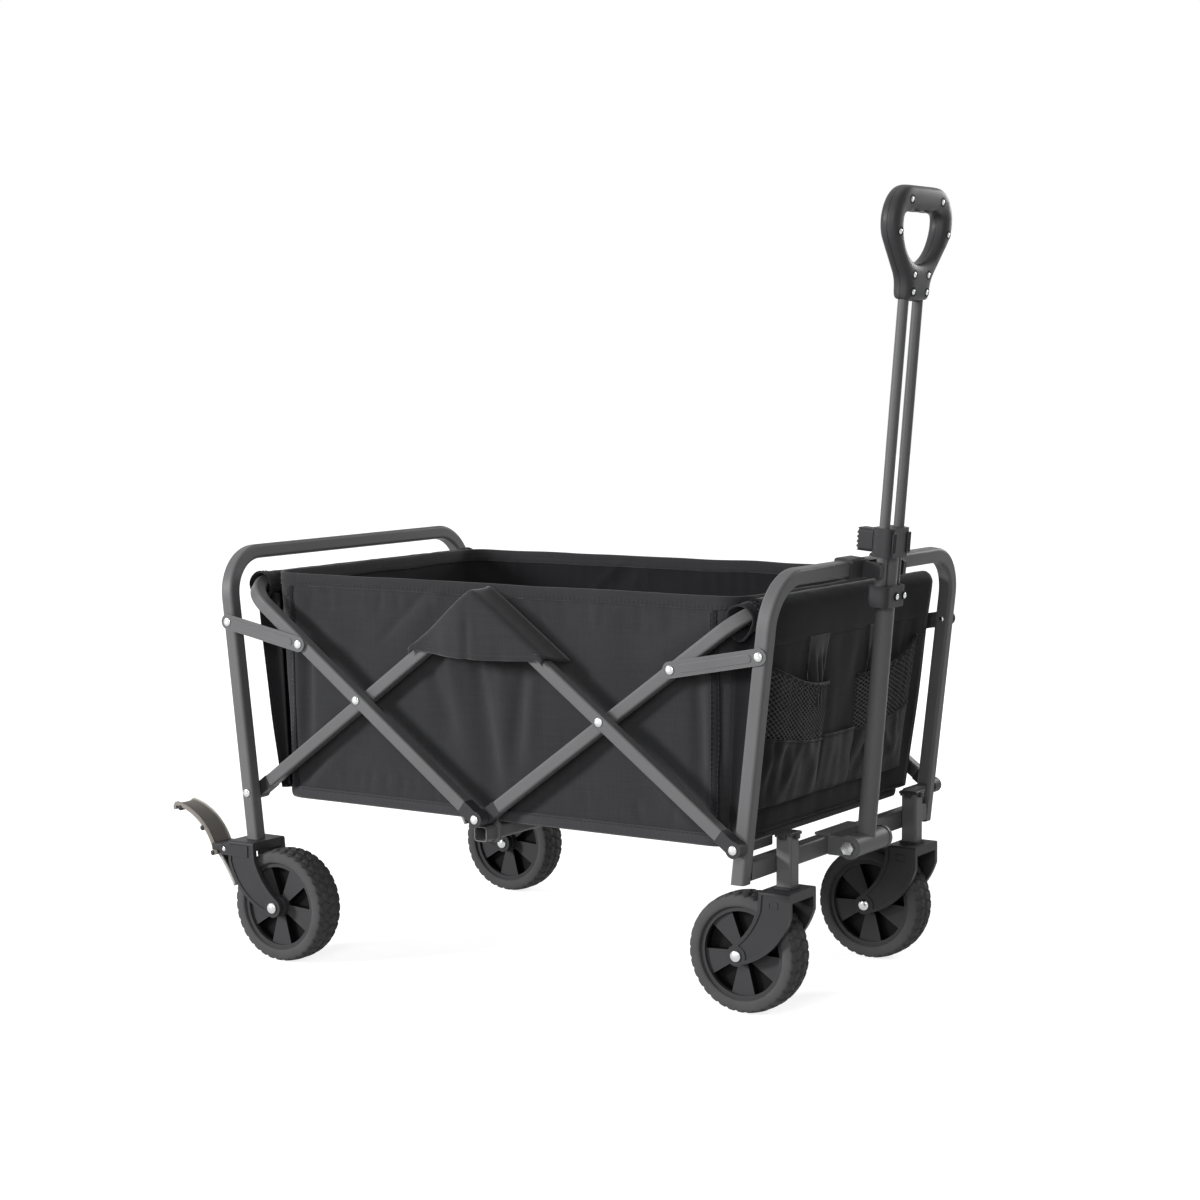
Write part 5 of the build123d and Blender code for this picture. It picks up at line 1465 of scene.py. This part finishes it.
plate_path = arc_through(PEDAL_BEND, PEDAL_CREST, PEDAL_TIP, PLATE_STEPS) + [Vector(point) for point in PEDAL_CURL]
tongue_path = arc_through(PEDAL_FOOT, PEDAL_SHANK, PEDAL_BEND, TONGUE_STEPS)
for side_name, side in SIDES.items():
    body = f"brake_{side_name}"
    middle = side * BAR_HALF["rear"]
    plate_rings = pedal_rings(plate_path, PLATE_SECTION, PLATE_HALF, middle)
    plate = add_piece(f"pedal_plate_{side_name}", *lofted(plate_rings), pedal_plastic, body, "pedal_plastic")
    plate.data.set_sharp_from_angle(angle=math.radians(50))
    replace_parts(plate, f"brake_pedal_{side_name}")
    for edge_name, (crest, inner, rim_material) in PLATE_RIMS.items():
        path = [ring[crest].lerp(ring[inner], 0.5) for ring in plate_rings]
        add_tube(f"pedal_rim_{edge_name}_{side_name}", path, 0.9, rim_material, body, "pedal_plastic", sides=8)
    ribs = []
    for share in PEDAL_RIBS:
        ring = plate_rings[round(share * PLATE_STEPS)]
        under = (ring[0] + ring[-1]) / 2 + (ring[0] - ring[1]).normalized() * 1.6
        ribs.append(turned(RIB, under, (0, 1, 0), 14))
    pin = Vector((PEDAL_PIN[0], middle, PEDAL_PIN[1]))
    ribs.append(turned(HUB, pin, (0, 1, 0), 24))
    add_piece(f"pedal_ribs_{side_name}", *joined(ribs), black_plastic, body, "black_plastic")
    arm = block(pin + Vector((-19.0, 0, -1.5)), (24.0, 36.0, 9.0))
    crisp(add_piece(f"pedal_arm_{side_name}", *arm, black_plastic, body, "black_plastic"), 1.4)
    tongue_rings = pedal_rings(tongue_path, TONGUE_SECTION, TONGUE_HALF, middle)
    crisp(add_piece(f"pedal_tongue_{side_name}", *lofted(tongue_rings), black_plastic, body, "black_plastic"), 0.5)
    # pale strips along both edges of the tongue: painted highlights
    for edge_name, step in (("near", 0), ("far", 2)):
        path = [(ring[step] + ring[step + 1]) / 2 for ring in tongue_rings]
        add_tube(f"pedal_highlight_strip_{edge_name}_{side_name}", path, 2.2, pedal_painted_highlight, body, "pedal_plastic")

# Floor, light and camera
WHITE = (1.0, 1.0, 1.0, 1.0)
STAGE_HALF = 14.0
STAGE_CORNERS = [(a * STAGE_HALF, b * STAGE_HALF, 0) for a, b in ((-1, -1), (1, -1), (1, 1), (-1, 1))]


def stage_material():
    """White floor that shows the object's shadow and reads as white to the camera."""
    floor = Shader("floor_white")
    level = floor.ramp(floor.vector("LENGTH", floor.place), 0.8, 2.6, 0.82, 1.0)
    glow = floor.node("ShaderNodeEmission", {"Color": WHITE, "Strength": floor.math("MULTIPLY", floor.seen(), level)})
    floor.set(Base_Color=floor.mix(floor.noise(3.0), (0.49, 0.49, 0.49), (0.51, 0.51, 0.51)), Roughness=0.95)
    both = floor.node("ShaderNodeAddShader", (glow, floor.surface.outputs[0]))
    floor.join(both, floor.tree.nodes["Material Output"].inputs["Surface"])
    return floor.material


def make_stage():
    """Floor and world: both are white to the camera and in reflections, and light the object only a little."""
    mesh = bpy.data.meshes.new("floor")
    mesh.from_pydata(STAGE_CORNERS, [], [(0, 1, 2, 3)])
    floor = placed("floor", mesh)
    mesh.materials.append(stage_material())
    floor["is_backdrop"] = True

    world = bpy.data.worlds.new("studio")
    bpy.context.scene.world = world
    sky = Nodes(world)
    background = sky.tree.nodes["Background"].inputs
    sky.feed(background["Color"], WHITE)
    sky.feed(background["Strength"], sky.ramp(sky.seen(), 0.0, 1.0, 0.12, 1.0))


def soft_box(name, place, target, size, power):
    """Large square lamp that faces a point."""
    lamp = bpy.data.lights.new(name, "AREA")
    lamp.shape = "SQUARE"
    lamp.size = size
    lamp.energy = power
    holder = placed(name, lamp)
    holder.location = place
    holder.rotation_euler = (Vector(target) - Vector(place)).to_track_quat("-Z", "Y").to_euler()


CAMERA_PLACE = (1.73869, -2.61450, 0.75116)
CAMERA_YAW = 33.431
CAMERA_PITCH = 5.591
CAMERA_ROLL = -0.358
CAMERA_LENS = 75.8


def make_camera():
    """Camera at the photograph's place and angle."""
    yaw, pitch, roll = (math.radians(angle) for angle in (CAMERA_YAW, CAMERA_PITCH, CAMERA_ROLL))
    ahead = Vector((-math.sin(yaw) * math.cos(pitch), math.cos(yaw) * math.cos(pitch), -math.sin(pitch)))
    right = Vector((math.cos(yaw), math.sin(yaw), 0.0))
    up = right.cross(ahead)
    tilted_right = right * math.cos(roll) + up * math.sin(roll)
    tilted_up = up * math.cos(roll) - right * math.sin(roll)
    lens = bpy.data.cameras.new("camera")
    lens.sensor_width = 36.0
    lens.lens = CAMERA_LENS
    camera = placed("camera", lens)
    turn = Matrix((tilted_right, tilted_up, -ahead)).transposed().to_4x4()
    camera.matrix_world = Matrix.Translation(CAMERA_PLACE) @ turn
    bpy.context.scene.camera = camera


make_stage()
soft_box("key", (-3.2, -4.2, 1.9), (0.0, 0.0, 0.35), 1.1, 305.0)
soft_box("fill", (1.0, -2.6, 1.3), (0.3, -0.2, 0.35), 1.0, 30.0)
soft_box("side", (0.9, 3.2, 1.6), (0.3, 0.0, 0.5), 1.2, 45.0)
soft_box("top", (0.0, 0.3, 3.4), (0.0, 0.0, 0.3), 2.0, 16.0)
make_camera()
bpy.context.scene.view_settings.view_transform = "Standard"

low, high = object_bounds()
